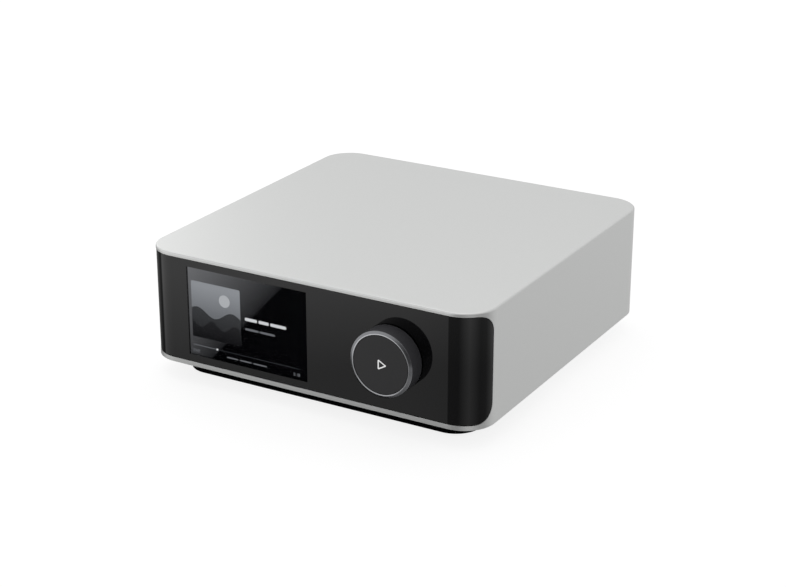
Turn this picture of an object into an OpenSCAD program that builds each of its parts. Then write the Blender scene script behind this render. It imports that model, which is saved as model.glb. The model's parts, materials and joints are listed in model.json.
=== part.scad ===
// Network music streamer: silver shell, wrapped front panel with display and knob, rear sockets.
// Millimetres. X to the right, Y to the back, Z up. Origin under the middle of the shell, on the floor.

/* [Shell] */
// Width of the shell
body_w = 200; // [190:1:240]
// Depth of the shell, without the knob
body_d = 198; // [185:1:240]
// Height of the shell above its lower lip
body_h = 62; // [58:0.5:80]
// Radius of the upright corners
corner_r = 17.3; // [14:0.1:20]
// Thickness of the side walls
side_wall = 2.5; // [2:0.1:3.5]
// Thickness of the top, which is also the lip above the front panel
top_wall = 2; // [1.5:0.1:3]
// Thickness of the floor flange, which is also the lip below the front panel
flange_t = 2.5; // [2:0.1:3.5]
// Width of the floor flange, from the outer face inwards
flange_w = 30; // [27:0.5:36]
// Rounding of the top's outer edge
edge_r = 1; // [0.4:0.1:1.6]

/* [Base] */
// Distance of the plinth from the shell's outer face
plinth_inset = 12.6; // [8:0.2:15]
// Height of the plinth
plinth_h = 9.5; // [7.5:0.1:16]
// Radius of the plinth's upright corners
plinth_r = 14.5; // [8:0.5:24]
// Thickness of the plinth's wall and floor
plinth_wall = 2.5; // [1.6:0.1:3]
// Thickness of the rubber sole
sole_t = 1.5; // [1:0.1:4]
// Distance of the sole from the plinth's outer face
sole_inset = 6; // [4:0.5:20]

/* [Front panel] */
// Thickness of the front panel
panel_t = 2.2; // [1.5:0.1:3.5]
// Depth of the panel's face behind the shell's outer face
panel_recess = 0.2; // [0.05:0.05:0.6]
// Gap between the panel's edge and the shell
panel_gap = 0.3; // [0.1:0.05:0.5]
// How far the panel reaches round the corner, behind the front face
panel_reach = 15; // [12:0.5:20]
// Radius of the panel's end corners
panel_corner_r = 10; // [5:0.5:12]
// Thickness of the carrier behind the panel
carrier_t = 2.5; // [2:0.1:3.5]

/* [Display] */
// Width of the visible screen
screen_w = 73.6; // [60:0.2:76]
// Height of the visible screen
screen_h = 49.2; // [40:0.2:50.4]
// Distance of the screen's middle from the shell's left face
screen_left = 64.6; // [62:0.2:67]
// Thickness of the cover glass
glass_t = 1.1; // [0.7:0.1:1.3]
// Thickness of the display module behind the panel
lcd_t = 4.2; // [3.4:0.1:6]

/* [Knob] */
// Diameter of the knob
knob_d = 35.3; // [33:0.1:40]
// Distance of the knob's axis from the shell's right face
knob_right = 49; // [47:0.2:52]
// Distance of the knob's front from the shell's front face
knob_out = 10.6; // [9.8:0.1:16]
// Width of the bevel round the knob's front
knob_bevel_w = 1.5; // [0.5:0.1:2.2]
// Depth of the bevel round the knob's front
knob_bevel_h = 0.7; // [0.3:0.1:2]
// Wall of the knob ring
knob_wall = 2; // [1.5:0.1:3]
// Travel of the centre button
press_travel = 0.5; // [0.2:0.05:0.8]
// Radius of the knob's hub
hub_r = 11; // [10.4:0.1:11.4]
// Distance from the middle of the play mark to its tips
glyph_r = 3.3; // [2.4:0.1:5]
// Width of the play mark's line
glyph_line = 0.6; // [0.4:0.1:1]

/* [Boards] */
// Thickness of the steel tray
tray_t = 1.2; // [0.8:0.1:2]
// Height of the boards above the tray
standoff_h = 5; // [4:0.5:8]
// Thickness of the circuit boards
board_t = 1.6; // [1:0.1:2.4]
// Depth of the main board's rear strip
strip_d = 84; // [70:1:92]

/* [Rear panel] */
// Thickness of the rear panel
rear_t = 2; // [1.5:0.1:3]
// Depth of the rear panel's face behind the shell's rear face
rear_recess = 0.5; // [0.2:0.1:2]
// Height of the shell's lip above the rear panel
rear_lip = 3; // [2:0.5:8]
// Corner radius of the rear opening
rear_corner_r = 4; // [2:0.5:8]

/* [Sockets] */
// Radius of a phono socket's barrel
rca_r = 4.15; // [3.9:0.05:4.3]
// Length of a barrel outside the rear panel
rca_out = 9; // [7:0.5:11]
// Height between the two barrels of a pair
rca_pitch = 13.8; // [13:0.1:16]
// Radius of the ground post's thread
stud_r = 2; // [1.5:0.1:2.5]
// Lift of the thumb nut when it is unscrewed
nut_lift = 3; // [1:0.5:5]

/* [Hidden] */
$fn = 72;

// Clearances
cut = 1;              // overshoot of a cut past a face
bond_gap = 0.2;       // film of adhesive
slip = 0.3;           // gap between pieces that pass each other
snug = 0.05;          // gap round a piece that is held
run = 0.08;           // running fit of the knob on its post
screw_fit = 0.2;      // gap round a screw's shank

// Levels
shell_z = sole_t + plinth_h;
floor_z = shell_z + flange_t;
roof_z = shell_z + body_h;
ceil_z = roof_z - top_wall;
mid_z = (floor_z + ceil_z) / 2;
front_y = -body_d / 2;
rear_y = body_d / 2;
screen_x = screen_left - body_w / 2;
knob_x = body_w / 2 - knob_right;
plinth_w = body_w - 2 * plinth_inset;
plinth_d = body_d - 2 * plinth_inset;
flange_hole_r = 8;

// Depths behind the front face
panel_back = panel_recess + panel_t;
glass_back = panel_recess + glass_t;
carrier_front = max(side_wall, panel_back) + bond_gap;
carrier_back = carrier_front + carrier_t;
carrier_reach = panel_reach + 7;
lcd_front = panel_back + bond_gap;
lcd_back = max(lcd_front + lcd_t, carrier_back + bond_gap);
bracket_t = 0.8;
bracket_back = lcd_back + bracket_t;
front_bay = 31;       // depth kept free for the front module

// Display module and its bracket
lcd_w = screen_w + 9.2;
lcd_h = screen_h + 4;
ear_w = 8;
bracket_h = 26;
bracket_hole_z = 9;
ear_x = lcd_w / 2 + ear_w / 2;

// Screws: thread radius, head radius, head height
m2 = [1, 1.9, 1.2];
m3 = [1.5, 2.8, 1.8];
base_len = 8;
base_x = body_w / 2 - flange_w + 5;
base_inset = 54;      // distance of a plinth screw from the shell's front or rear face
base_y = body_d / 2 - base_inset;
seat_t = 3;           // plinth left above a screw's head
rear_bite = 6;        // length of a rear screw in a socket block
foot_x = 65;
foot_y = front_y + plinth_inset + plinth_wall + m3[1] + 2.2;
foot_w = 12;
foot_tongue_t = 1.6;

// Knob, as distances along its axis in front of the shell's front face
knob_r = knob_d / 2;
ring_back = -panel_recess + 0.6;
ring_bore = knob_r - knob_wall;
cap_front = knob_out - 0.2;
cap_t = 3.2;
cap_back = cap_front - cap_t;
cap_r = ring_bore - 0.25;
post_front = cap_back - press_travel - slip;
clip_t = 0.25;
clip_back = post_front - snug - clip_t;
web_front = clip_back - 0.15;
web_t = 2;
post_r = hub_r - 2;
post_bore = post_r - 1.2;
boss_end = cap_back - 1.3;
switch_top = boss_end - press_travel - slip;
switch_h = 2.8;
switch_w = 6.2;
plunger_r = 1.6;
plunger_in = press_travel + 0.1;
button_board_t = 1;
button_board_top = switch_top - switch_h;
seat_p = button_board_top - button_board_t;
skirt_end = button_board_top + press_travel + slip;
skirt_t = 1;
stator_front = -carrier_back - slip;
stator_len = 4.8;
stator_lip = 0.5;
stator_r = hub_r + 5.5;
stator_bore = hub_r + 2.6;
kb_front = stator_front - stator_len;
kb_w = 40;
kb_boss = 17;
post_flange_t = 0.8;
hub_end = kb_front + post_flange_t + 0.4;
glyph_deep = 0.6;

// Tray and rear panel
rear_margin = 1.2;
rear_open_w = body_w - 2 * (corner_r + rear_margin);
rear_out = rear_y - rear_recess;
rear_in = rear_out - rear_t;
rear_top = ceil_z - rear_lip;
tray_w = rear_open_w - 2 * 0.5;
tray_top = floor_z + tray_t;
tray_front = front_y + front_bay;
tab_w = 10;
tab_x = tray_w / 2 - 20;
board_z = tray_top + standoff_h;
board_top = board_z + board_t;
tab_top = board_z - 0.8;
tab_screw_z = (floor_z + tab_top) / 2;

// Sockets along the rear, from right to left as seen from the front
ground_w = 10;
rca_w = 12.4;
tos_w = 9.8;
hdmi_w = 15;
usb_w = 13.2;
lan_w = 16;
inlet_w = 19;
port_w = [ground_w, rca_w, rca_w, rca_w, rca_w, tos_w, tos_w, hdmi_w, usb_w, lan_w, inlet_w];
GROUND = 0;
RCA = [1, 2, 3, 4];
TOS_OUT = 5;
TOS_IN = 6;
HDMI = 7;
USB = 8;
LAN = 9;
INLET = 10;
port_margin = 2.5;
port_count = len(port_w);
port_gap = (rear_open_w - 2 * port_margin - sum_to(port_w, port_count)) / (port_count - 1);
port_face = rear_out + 0.4;
port_fit = 0.3;
rca_d = 14;
rca_z = [7.2, 7.2 + rca_pitch];
rca_h = rca_z[1] + 7.2;
rca_screw_z = board_top + (rca_z[0] + rca_z[1]) / 2;
rca_collar_r = min(rca_r + 0.7, rca_pitch / 2 - m2[1] - 2 * snug);
rca_in = 9;
rca_collar_out = 1.2;
rca_neck_r = rca_r - 0.2;
rca_bore = rca_r - 0.85;
rca_pin_r = 1.6;
tos_d = 13.5;
tos_h = 10.4;
tos_open = 7.8;
tos_floor = 1.2;
tos_deep = 9.5;
flap_t = 0.7;
flap_pin_r = 0.4;
flap_w = tos_open - 0.4;
flap_z = board_top + tos_floor + tos_open - 0.7;
flap_y = port_face - 1;
metal_t = 0.4;        // sheet of the socket shells
tongue_base = 3;
hdmi_h = 5.6;
hdmi_d = 11.5;
hdmi_chamfer = 1.6;
hdmi_tongue = [11, 1.2];
usb_h = 5.8;
usb_d = 14;
usb_tongue = [11, 1.8];
lan_h = 13.4;
lan_d = 16;
lan_open_w = 11.8;
lan_open_h = 7.6;
lan_deep = 12;
lan_z = board_top + lan_h / 2 + 0.5;
latch_w = 6;
latch_h = 1.6;
inlet_h = 13;
inlet_d = 16;
inlet_open_w = 15.4;
inlet_open_h = 8;
inlet_deep = 12;
pin_pitch = 8.6;
pin_r = 1.2;
pin_short = 3;        // how far a pin ends inside the mouth

// Ground post
ground_z = board_top + 10;
ground_flange_r = 4.6;
ground_flange_t = 1.5;
ground_gap = 0.3;
washer_t = 1;
nut_len = 5;
nut_r = 4.8;
washer_y = rear_out + ground_flange_t + ground_gap;
nut_y = washer_y + washer_t + ground_gap;
stud_end = nut_y + nut_len + nut_lift + 1;
lock_nut_t = 2.4;

// Boards
seam = 0.4;
left_x = -tray_w / 2 + 1.5;
right_x = tray_w / 2 - 1.5;
board_rear = rear_in - 1;
board_front = tray_front + 3;
strip_front = board_rear - strip_d;
ribbon_w = 14;
lcd_lane = screen_x + lcd_w / 2 - ribbon_w / 2 - 2;
split_rear = port_x(INLET) + inlet_w / 2 + port_gap / 2;
split_front = lcd_lane - ribbon_w / 2 - 4;
socket_y = board_front + 6;
socket_d = 5;
socket_h = 2.2;
ribbon_t = 0.3;
antenna_w = 7;
antenna_t = 0.5;
antenna_dx = kb_w / 2 + 1.5 + antenna_w / 2;
soc_x = (split_front + right_x) / 2;
soc_y = (board_front + socket_d + strip_front) / 2 + 4;
soc_w = 34;
soc_h = 3;
sink_w = soc_w - 4;
sink_h = 11.4;
sink_base = 2.4;
sink_fins = 8;
fin_t = 1.2;
wifi = [20, 18, 2.5];
dac = [44, 26, 5];
dac_x = (port_x(RCA[0]) + port_x(RCA[3])) / 2;
dac_y = board_rear - rca_d - 28;
// Capacitors: radius and height, then the places of a row on the main board and one on the power board
cap_small = [4, 11.5];
cap_pitch = 8.6;
bulk_cap = [9, 26];
core_w = 28;
core_d = 12;
core_h = 22;
limb = 7;
yoke = 4;
side_limb = 5;
coil_out = 9;         // winding beyond the core, both sides together
psu_x = (left_x + split_front) / 2 + 6;
psu_y = (board_front + strip_front) / 2;
psu_sink = [30, 8, 22];
psu_sink_y = board_front + 14;
psu_sink_fins = 6;
psu_sink_web = 2;
cap_at = concat(
  [for (i = [0:5]) [port_x(RCA[3]) + 4 + i * cap_pitch, board_rear - rca_d - 7]],
  [for (i = [0:2]) [psu_x - 14 + i * 12, strip_front - 16]]
);
// Sideways places and widths of the front ribbons: display, knob, then the two antennas
lane_x = [lcd_lane, knob_x, knob_x - antenna_dx, knob_x + antenna_dx];
lane_w = [ribbon_w, ribbon_w - 4, antenna_w, antenna_w];
standoff_r = 2.9;
standoff_at = [
  [right_x - 5, socket_y + socket_d + m3[1] + slip],
  [split_front + 5.5, socket_y + socket_d + 5],
  [right_x - 5, board_rear - 24],
  [split_rear + 6, board_rear - 26],
  [split_rear + 6, strip_front + 6],
  [left_x + 5, board_front + 5],
  [split_front - 6, board_front + 5],
  [left_x + 5, board_rear - 26],
  [split_front - 6, strip_front - 8]
];

// Sum of the first n entries of a list
function sum_to(v, n) = n <= 0 ? 0 : v[n - 1] + sum_to(v, n - 1);
// Sideways place of socket i in the row
function port_x(i) = rear_open_w / 2 - port_margin - sum_to(port_w, i) - i * port_gap - port_w[i] / 2;

// Block between two corners
module span(x0, x1, y0, y1, z0, z1) {
  translate([x0, y0, z0]) cube([x1 - x0, y1 - y0, z1 - z0]);
}
// Rod along Y
module rod_y(x, z, y0, y1, r) {
  translate([x, y0, z]) rotate([-90, 0, 0]) cylinder(r = r, h = y1 - y0);
}
// Upright rod
module post_z(x, y, z0, z1, r) {
  translate([x, y, z0]) cylinder(r = r, h = z1 - z0);
}
// Rectangle with round corners
module plan(w, d, r) {
  square([w - 2 * r, d], center = true);
  square([w, d - 2 * r], center = true);
  for (x = [-1, 1], y = [-1, 1]) translate([x * (w / 2 - r), y * (d / 2 - r)]) circle(r);
}
module slab(w, d, r, h) {
  linear_extrude(h) plan(w, d, r);
}
// Outline of the shell, drawn in by an inset
module body_plan(inset) {
  plan(body_w - 2 * inset, body_d - 2 * inset, corner_r - inset);
}
// Slot shape with half-round ends
module stadium(w, h) {
  square([w - h, h], center = true);
  for (s = [-1, 1]) translate([s * (w - h) / 2, 0]) circle(h / 2);
}
// Extrudes a shape drawn in X and Z from y0 to y1
module along_y(y0, y1) {
  translate([0, y1, 0]) rotate([90, 0, 0]) linear_extrude(y1 - y0) children();
}
// Extrudes a shape drawn in Y and Z across the whole width
module across_x(w) {
  rotate([90, 0, 90]) linear_extrude(w, center = true) children();
}
// Moves a shape whose Z axis is the knob's axis, pointing to the front, into place
module on_knob_axis() {
  translate([knob_x, front_y, mid_z]) rotate([90, 0, 0]) children();
}
// Turned piece on the knob's axis, from points of radius and distance
module turned(points) {
  on_knob_axis() rotate_extrude() polygon(points);
}
// Screw with its head above the origin
module screw(kind, len) {
  cylinder(r = kind[1], h = kind[2]);
  translate([0, 0, -len]) cylinder(r = kind[0], h = len);
}
// Section through a rounded top edge: r deep from the outer face, h high
module soft_section(r, h, e) {
  square([r - e, h]);
  square([r, h - e]);
  translate([r - e, h - e]) circle(e);
}
// Block with round upright corners and a rounded top edge
module soft_top(w, d, r, h, e) {
  translate([-w / 2 + r, -d / 2 + r, 0]) cube([w - 2 * r, d - 2 * r, h]);
  for (s = [-1, 1]) {
    turn = s > 0 ? 0 : 180;
    rotate(turn) translate([0, d / 2 - r, 0]) across_x(w - 2 * r) soft_section(r, h, e);
    rotate(turn - 90) translate([0, w / 2 - r, 0]) across_x(d - 2 * r) soft_section(r, h, e);
  }
  for (x = [0, 1], y = [0, 1]) mirror([x, 0, 0]) mirror([0, y, 0])
    translate([w / 2 - r, d / 2 - r, 0]) rotate_extrude(angle = 90) soft_section(r, h, e);
}

// Mouth of the shell seen from the side, shrunk by g, with round rear corners
module mouth_plan(g) {
  z0 = floor_z + g;
  z1 = ceil_z - g;
  y0 = front_y - cut;
  y1 = front_y + panel_reach - g;
  r = panel_corner_r - g;
  translate([y0, z0]) square([y1 - r - y0, z1 - z0]);
  translate([y0, z0 + r]) square([y1 - y0, z1 - z0 - 2 * r]);
  for (z = [z0 + r, z1 - r]) translate([y1 - r, z]) circle(r);
}
module mouth(g) {
  across_x(body_w + 2 * cut) mouth_plan(g);
}
// Strip of wall between two insets, round the front
module front_band(near, far, reach, z0, z1) {
  translate([0, 0, z0]) linear_extrude(z1 - z0) intersection() {
    difference() {
      body_plan(near);
      body_plan(far);
    }
    translate([-body_w / 2, front_y]) square([body_w, reach]);
  }
}
// Rear opening, shrunk by g, with round upper corners
module rear_plan(g) {
  w = rear_open_w - 2 * g;
  z0 = floor_z + g;
  z1 = rear_top - g;
  r = rear_corner_r;
  translate([-w / 2, z0]) square([w, z1 - r - z0]);
  translate([-w / 2 + r, z0]) square([w - 2 * r, z1 - z0]);
  for (s = [-1, 1]) translate([s * (w / 2 - r), z1 - r]) circle(r);
}
// Places of the screws that hold the plinth, and of those that hold the carrier's feet
module at_base_screws() {
  for (x = [-base_x, base_x], y = [-base_y, base_y]) translate([x, y, 0]) children();
}
module at_foot_screws() {
  for (x = [-foot_x, foot_x]) translate([x, foot_y, 0]) children();
}
module at_bracket_screws() {
  for (x = [-1, 1], z = [-1, 1])
    translate([screen_x + x * ear_x, front_y, mid_z + z * bracket_hole_z]) rotate([-90, 0, 0]) children();
}
module at_knob_board_screws() {
  for (x = [-1, 1], z = [-1, 1])
    translate([knob_x + x * kb_boss, front_y, mid_z + z * kb_boss]) rotate([-90, 0, 0]) children();
}

module shell() {
  color("silver") difference() {
    translate([0, 0, shell_z]) soft_top(body_w, body_d, corner_r, body_h, edge_r);
    translate([0, 0, floor_z]) linear_extrude(ceil_z - floor_z) body_plan(side_wall);
    translate([0, 0, shell_z - cut])
      slab(body_w - 2 * flange_w, body_d - 2 * flange_w, flange_hole_r, flange_t + 2 * cut);
    mouth(0);
    along_y(rear_y - side_wall - cut, rear_y + cut) rear_plan(0);
    at_base_screws() post_z(0, 0, shell_z - cut, floor_z + cut, m3[0] + screw_fit);
    at_foot_screws() post_z(0, 0, shell_z - cut, floor_z + cut, m3[0] + screw_fit);
  }
}

module front_panel() {
  color([0.08, 0.08, 0.08]) difference() {
    intersection() {
      front_band(panel_recess, panel_back, panel_reach, floor_z, ceil_z);
      mouth(panel_gap);
    }
    along_y(front_y - cut, front_y + panel_back + cut)
      translate([screen_x, mid_z]) square([screen_w + 2 * snug, screen_h + 2 * snug], center = true);
    rod_y(knob_x, mid_z, front_y - cut, front_y + panel_back + cut, hub_r + 2 * slip);
  }
}

module touch_glass() {
  color([0.02, 0.02, 0.03]) along_y(front_y + panel_recess, front_y + glass_back)
    translate([screen_x, mid_z]) square([screen_w, screen_h], center = true);
}

module lcd_module() {
  color([0.25, 0.25, 0.28]) {
    along_y(front_y + lcd_front, front_y + lcd_back)
      translate([screen_x, mid_z]) square([lcd_w, lcd_h], center = true);
    along_y(front_y + glass_back + bond_gap, front_y + lcd_front + cut)
      translate([screen_x, mid_z]) square([screen_w, screen_h], center = true);
  }
}

module lcd_bracket() {
  color("gainsboro") difference() {
    along_y(front_y + lcd_back, front_y + bracket_back) translate([screen_x, mid_z]) difference() {
      plan(lcd_w + 2 * ear_w, bracket_h, 3);
      for (s = [-1, 0, 1]) translate([s * lcd_w / 3.5, 0]) plan(lcd_w / 5, bracket_h / 2, 2);
    }
    at_bracket_screws() post_z(0, 0, lcd_back - cut, bracket_back + cut, m2[0] + screw_fit);
  }
}

module front_carrier() {
  color([0.2, 0.2, 0.2]) difference() {
    union() {
      difference() {
        front_band(carrier_front, carrier_back, carrier_reach, floor_z + bond_gap, ceil_z - bond_gap);
        along_y(front_y, front_y + carrier_back + cut)
          translate([screen_x, mid_z]) square([lcd_w + 2 * slip, lcd_h + 2 * slip], center = true);
      }
      at_bracket_screws() post_z(0, 0, carrier_back - cut, lcd_back, ear_w / 2 - slip);
      at_knob_board_screws() post_z(0, 0, carrier_back - cut, -kb_front, 2.5);
      for (s = [-1, 1]) {
        span(s * foot_x - foot_w / 2, s * foot_x + foot_w / 2, front_y + carrier_front + 1,
          foot_y + foot_w / 2, floor_z, floor_z + foot_tongue_t);
        span(s * foot_x - foot_w / 2, s * foot_x + foot_w / 2, front_y + bracket_back + 1,
          foot_y + foot_w / 2, floor_z, floor_z + base_len - flange_t + 1);
      }
    }
    rod_y(knob_x, mid_z, front_y, front_y + carrier_back + cut, hub_r + 2 * slip);
    at_bracket_screws() post_z(0, 0, carrier_front - cut, lcd_back + cut, m2[0] + snug);
    at_knob_board_screws() post_z(0, 0, carrier_front - cut, -kb_front + cut, m2[0] + snug);
    at_foot_screws() post_z(0, 0, floor_z - cut, shell_z + base_len + slip, m3[0] + snug);
  }
}

module knob_ring() {
  color([0.1, 0.1, 0.1]) turned([
    [knob_r, ring_back], [knob_r, knob_out - knob_bevel_h], [knob_r - knob_bevel_w, knob_out],
    [ring_bore, knob_out], [ring_bore, web_front], [post_r + run, web_front],
    [post_r + run, hub_end], [hub_r, hub_end], [hub_r, web_front - web_t],
    [ring_bore, web_front - web_t], [ring_bore, ring_back]
  ]);
}

module encoder_rotor() {
  color("dimgray") turned([
    [hub_r, hub_end], [stator_bore - slip, hub_end],
    [stator_bore - slip, stator_front - stator_lip - slip], [hub_r, stator_front - stator_lip - slip]
  ]);
}

module encoder_stator() {
  color("slategray") turned([
    [stator_bore, kb_front], [stator_r, kb_front], [stator_r, stator_front],
    [hub_r + slip, stator_front], [hub_r + slip, stator_front - stator_lip],
    [stator_bore, stator_front - stator_lip]
  ]);
}

module knob_post() {
  color("whitesmoke") turned([
    [post_bore - 1, kb_front], [hub_r, kb_front], [hub_r, kb_front + post_flange_t],
    [post_r, kb_front + post_flange_t], [post_r, post_front], [post_bore, post_front],
    [post_bore, seat_p], [post_bore - 1, seat_p]
  ]);
}

module knob_circlip() {
  color("darkgray") turned([
    [post_r, clip_back], [post_r + 1.6, clip_back],
    [post_r + 1.6, clip_back + clip_t], [post_r, clip_back + clip_t]
  ]);
}

module knob_board() {
  color("darkgreen") difference() {
    on_knob_axis() translate([0, 0, kb_front - board_t]) slab(kb_w, kb_w, 2, board_t);
    at_knob_board_screws() post_z(0, 0, -kb_front - cut, -kb_front + board_t + cut, m2[0] + screw_fit);
  }
}

// Outlined triangle of the play mark
module glyph_plan(g) {
  difference() {
    circle(r = glyph_r + 2 * g, $fn = 3);
    circle(r = glyph_r - 2 * glyph_line - 2 * g, $fn = 3);
  }
}

module play_button() {
  color([0.12, 0.12, 0.12]) on_knob_axis() difference() {
    rotate_extrude() polygon([
      [0, boss_end], [plunger_r, boss_end], [plunger_r, cap_back], [post_bore - 0.1 - skirt_t, cap_back],
      [post_bore - 0.1 - skirt_t, skirt_end], [post_bore - 0.1, skirt_end], [post_bore - 0.1, cap_back],
      [cap_r, cap_back], [cap_r, cap_front], [0, cap_front]
    ]);
    translate([0, 0, cap_front - glyph_deep]) linear_extrude(glyph_deep + cut) glyph_plan(snug / 2);
  }
}

module play_glyph() {
  color("white") on_knob_axis() translate([0, 0, cap_front - glyph_deep])
    linear_extrude(glyph_deep) glyph_plan(0);
}

module switch_plunger() {
  color("black") on_knob_axis() translate([0, 0, switch_top - plunger_in])
    cylinder(r = plunger_r, h = boss_end - switch_top + plunger_in);
}

module switch_body() {
  color("lightgray") on_knob_axis() difference() {
    translate([0, 0, button_board_top + switch_h / 2]) cube([switch_w, switch_w, switch_h], center = true);
    translate([0, 0, switch_top - plunger_in - press_travel - slip])
      cylinder(r = plunger_r + slip, h = plunger_in + press_travel + slip + cut);
  }
}

module button_board() {
  color("darkgreen") on_knob_axis() translate([0, 0, seat_p])
    cylinder(r = post_bore - snug, h = button_board_t);
}

module plinth() {
  color([0.05, 0.05, 0.05]) difference() {
    union() {
      difference() {
        translate([0, 0, sole_t]) slab(plinth_w, plinth_d, plinth_r, plinth_h);
        translate([0, 0, sole_t + plinth_wall]) slab(plinth_w - 2 * plinth_wall,
          plinth_d - 2 * plinth_wall, plinth_r - plinth_wall, plinth_h);
      }
      at_base_screws() post_z(0, 0, sole_t + plinth_wall / 2, shell_z, m3[1] + 2.2);
    }
    at_base_screws() {
      post_z(0, 0, sole_t, shell_z + cut, m3[0] + screw_fit);
      post_z(0, 0, sole_t - cut, shell_z - seat_t, m3[1] + screw_fit);
    }
  }
}

module sole_pad() {
  color([0.12, 0.12, 0.12])
    slab(plinth_w - 2 * sole_inset, plinth_d - 2 * sole_inset, max(plinth_r - sole_inset, 2), sole_t);
}

module tray() {
  color("lightsteelblue") difference() {
    union() {
      span(-tray_w / 2, tray_w / 2, tray_front, rear_in, floor_z, tray_top);
      for (s = [-1, 1]) span(s * tab_x - tab_w / 2, s * tab_x + tab_w / 2,
        rear_in - tray_t, rear_in, floor_z, tab_top);
    }
    at_base_screws() post_z(0, 0, floor_z - cut, tray_top + cut, m3[0] + snug);
    for (s = [-1, 1])
      rod_y(s * tab_x, tab_screw_z, rear_in - tray_t - cut, rear_in + cut, m2[0] + snug);
  }
}

// Outline of an HDMI or USB socket, with chamfers of c at its lower corners
module port_plan(w, h, c) {
  polygon([[-w / 2 + c, 0], [w / 2 - c, 0], [w / 2, c], [w / 2, h], [-w / 2, h], [-w / 2, c]]);
}

module rear_panel() {
  color([0.1, 0.1, 0.1]) difference() {
    along_y(rear_in, rear_out) difference() {
      rear_plan(panel_gap);
      for (i = RCA, z = rca_z) translate([port_x(i), board_top + z]) circle(rca_collar_r + port_fit);
      for (i = RCA) translate([port_x(i), rca_screw_z]) circle(m2[0] + screw_fit);
      for (i = [TOS_OUT, TOS_IN]) translate([port_x(i), board_top + tos_h / 2])
        square([tos_w + 2 * port_fit, tos_h + 2 * port_fit], center = true);
      translate([port_x(HDMI), board_top + hdmi_h / 2])
        square([hdmi_w + 2 * port_fit, hdmi_h + 2 * port_fit], center = true);
      translate([port_x(USB), board_top + usb_h / 2])
        square([usb_w + 2 * port_fit, usb_h + 2 * port_fit], center = true);
      translate([port_x(LAN), board_top + lan_h / 2])
        square([lan_w + 2 * port_fit, lan_h + 2 * port_fit], center = true);
      translate([port_x(INLET), board_top + inlet_h / 2])
        stadium(inlet_w + 2 * port_fit, inlet_h + 2 * port_fit);
      translate([port_x(GROUND), ground_z]) circle(stud_r + screw_fit);
      for (s = [-1, 1]) translate([s * tab_x, tab_screw_z]) circle(m2[0] + screw_fit);
    }
  }
}

module board_holes() {
  for (p = standoff_at) post_z(p[0], p[1], board_z - cut, board_top + cut, m3[0] + screw_fit);
}

module main_board() {
  color("darkgreen") difference() {
    translate([0, 0, board_z]) linear_extrude(board_t) polygon([
      [split_rear + seam, board_rear], [right_x, board_rear], [right_x, board_front],
      [split_front + seam, board_front], [split_front + seam, strip_front],
      [split_rear + seam, strip_front]
    ]);
    board_holes();
  }
}

module psu_board() {
  color("olivedrab") difference() {
    translate([0, 0, board_z]) linear_extrude(board_t) polygon([
      [left_x, board_rear], [split_rear - seam, board_rear], [split_rear - seam, strip_front - 2 * seam],
      [split_front - seam, strip_front - 2 * seam], [split_front - seam, board_front],
      [left_x, board_front]
    ]);
    board_holes();
  }
}

module board_standoffs() {
  color("goldenrod") for (p = standoff_at) translate([p[0], p[1], tray_top]) difference() {
    cylinder(r = standoff_r, h = standoff_h, $fn = 6);
    translate([0, 0, 0.6]) cylinder(r = m3[0] + snug, h = standoff_h);
  }
}

module soc_shield() {
  color("silver") translate([soc_x, soc_y, board_top]) slab(soc_w, soc_w, 1, soc_h);
}

module heatsink() {
  color("gray") translate([soc_x - sink_w / 2, soc_y - sink_w / 2, board_top + soc_h]) {
    cube([sink_w, sink_w, sink_base]);
    for (i = [0:sink_fins - 1]) translate([i * (sink_w - fin_t) / (sink_fins - 1), 0, 0])
      cube([fin_t, sink_w, sink_h]);
  }
}

module wifi_module() {
  color("lightgray") translate([right_x - wifi[0] - 4, soc_y - wifi[1] + 4, board_top]) cube(wifi);
}

module dac_shield() {
  color("silver") translate([dac_x, dac_y, board_top]) slab(dac[0], dac[1], 1, dac[2]);
}

// Can of a capacitor with a groove of depth g near its foot
module can(r, h, g) {
  rotate_extrude() polygon([
    [0, 0], [r, 0], [r, 3 * g], [r - g, 4 * g], [r, 5 * g], [r, h - g], [r - g, h], [0, h]
  ]);
}

module capacitors() {
  color([0.15, 0.15, 0.2]) for (p = cap_at) translate([p[0], p[1], board_top])
    can(cap_small[0], cap_small[1], 0.4);
}

module ribbon_sockets() {
  color("ivory") for (i = [0:len(lane_x) - 1]) span(lane_x[i] - lane_w[i] / 2, lane_x[i] + lane_w[i] / 2,
    socket_y, socket_y + socket_d, board_top, board_top + socket_h);
}
// Strip down a rear face at depth y0 from height z1, then back along the board to its socket
module strip(x, w, y0, z1, t) {
  span(x - w / 2, x + w / 2, y0, y0 + t, board_top, z1);
  span(x - w / 2, x + w / 2, y0, socket_y, board_top, board_top + t);
}

module ribbon_cables() {
  color("whitesmoke") {
    strip(lane_x[0], lane_w[0], front_y + lcd_back, mid_z - bracket_h / 2 - 1, ribbon_t);
    strip(lane_x[1], lane_w[1], front_y - kb_front + board_t, mid_z - kb_w / 4, ribbon_t);
  }
}

module antenna_strips() {
  color("orange") for (i = [2, 3])
    strip(lane_x[i], lane_w[i], front_y + carrier_back, ceil_z - 8, antenna_t);
}

module transformer_core() {
  color([0.2, 0.2, 0.22]) translate([psu_x, psu_y, board_top]) difference() {
    translate([-core_w / 2, -core_d / 2, 0]) cube([core_w, core_d, core_h]);
    for (s = [-1, 1]) translate([s * (limb + core_w / 2 - side_limb - limb / 2) / 2, 0, core_h / 2])
      cube([core_w / 2 - side_limb - limb / 2, core_d + 2 * cut, core_h - 2 * yoke], center = true);
  }
}

module transformer_winding() {
  color("khaki") translate([psu_x, psu_y, board_top + yoke + snug])
    linear_extrude(core_h - 2 * yoke - 2 * snug) difference() {
      square([core_w - 2 * side_limb - 2 * snug, core_d + coil_out], center = true);
      square([limb + 2 * snug, core_d + 2 * snug], center = true);
    }
}

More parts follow.
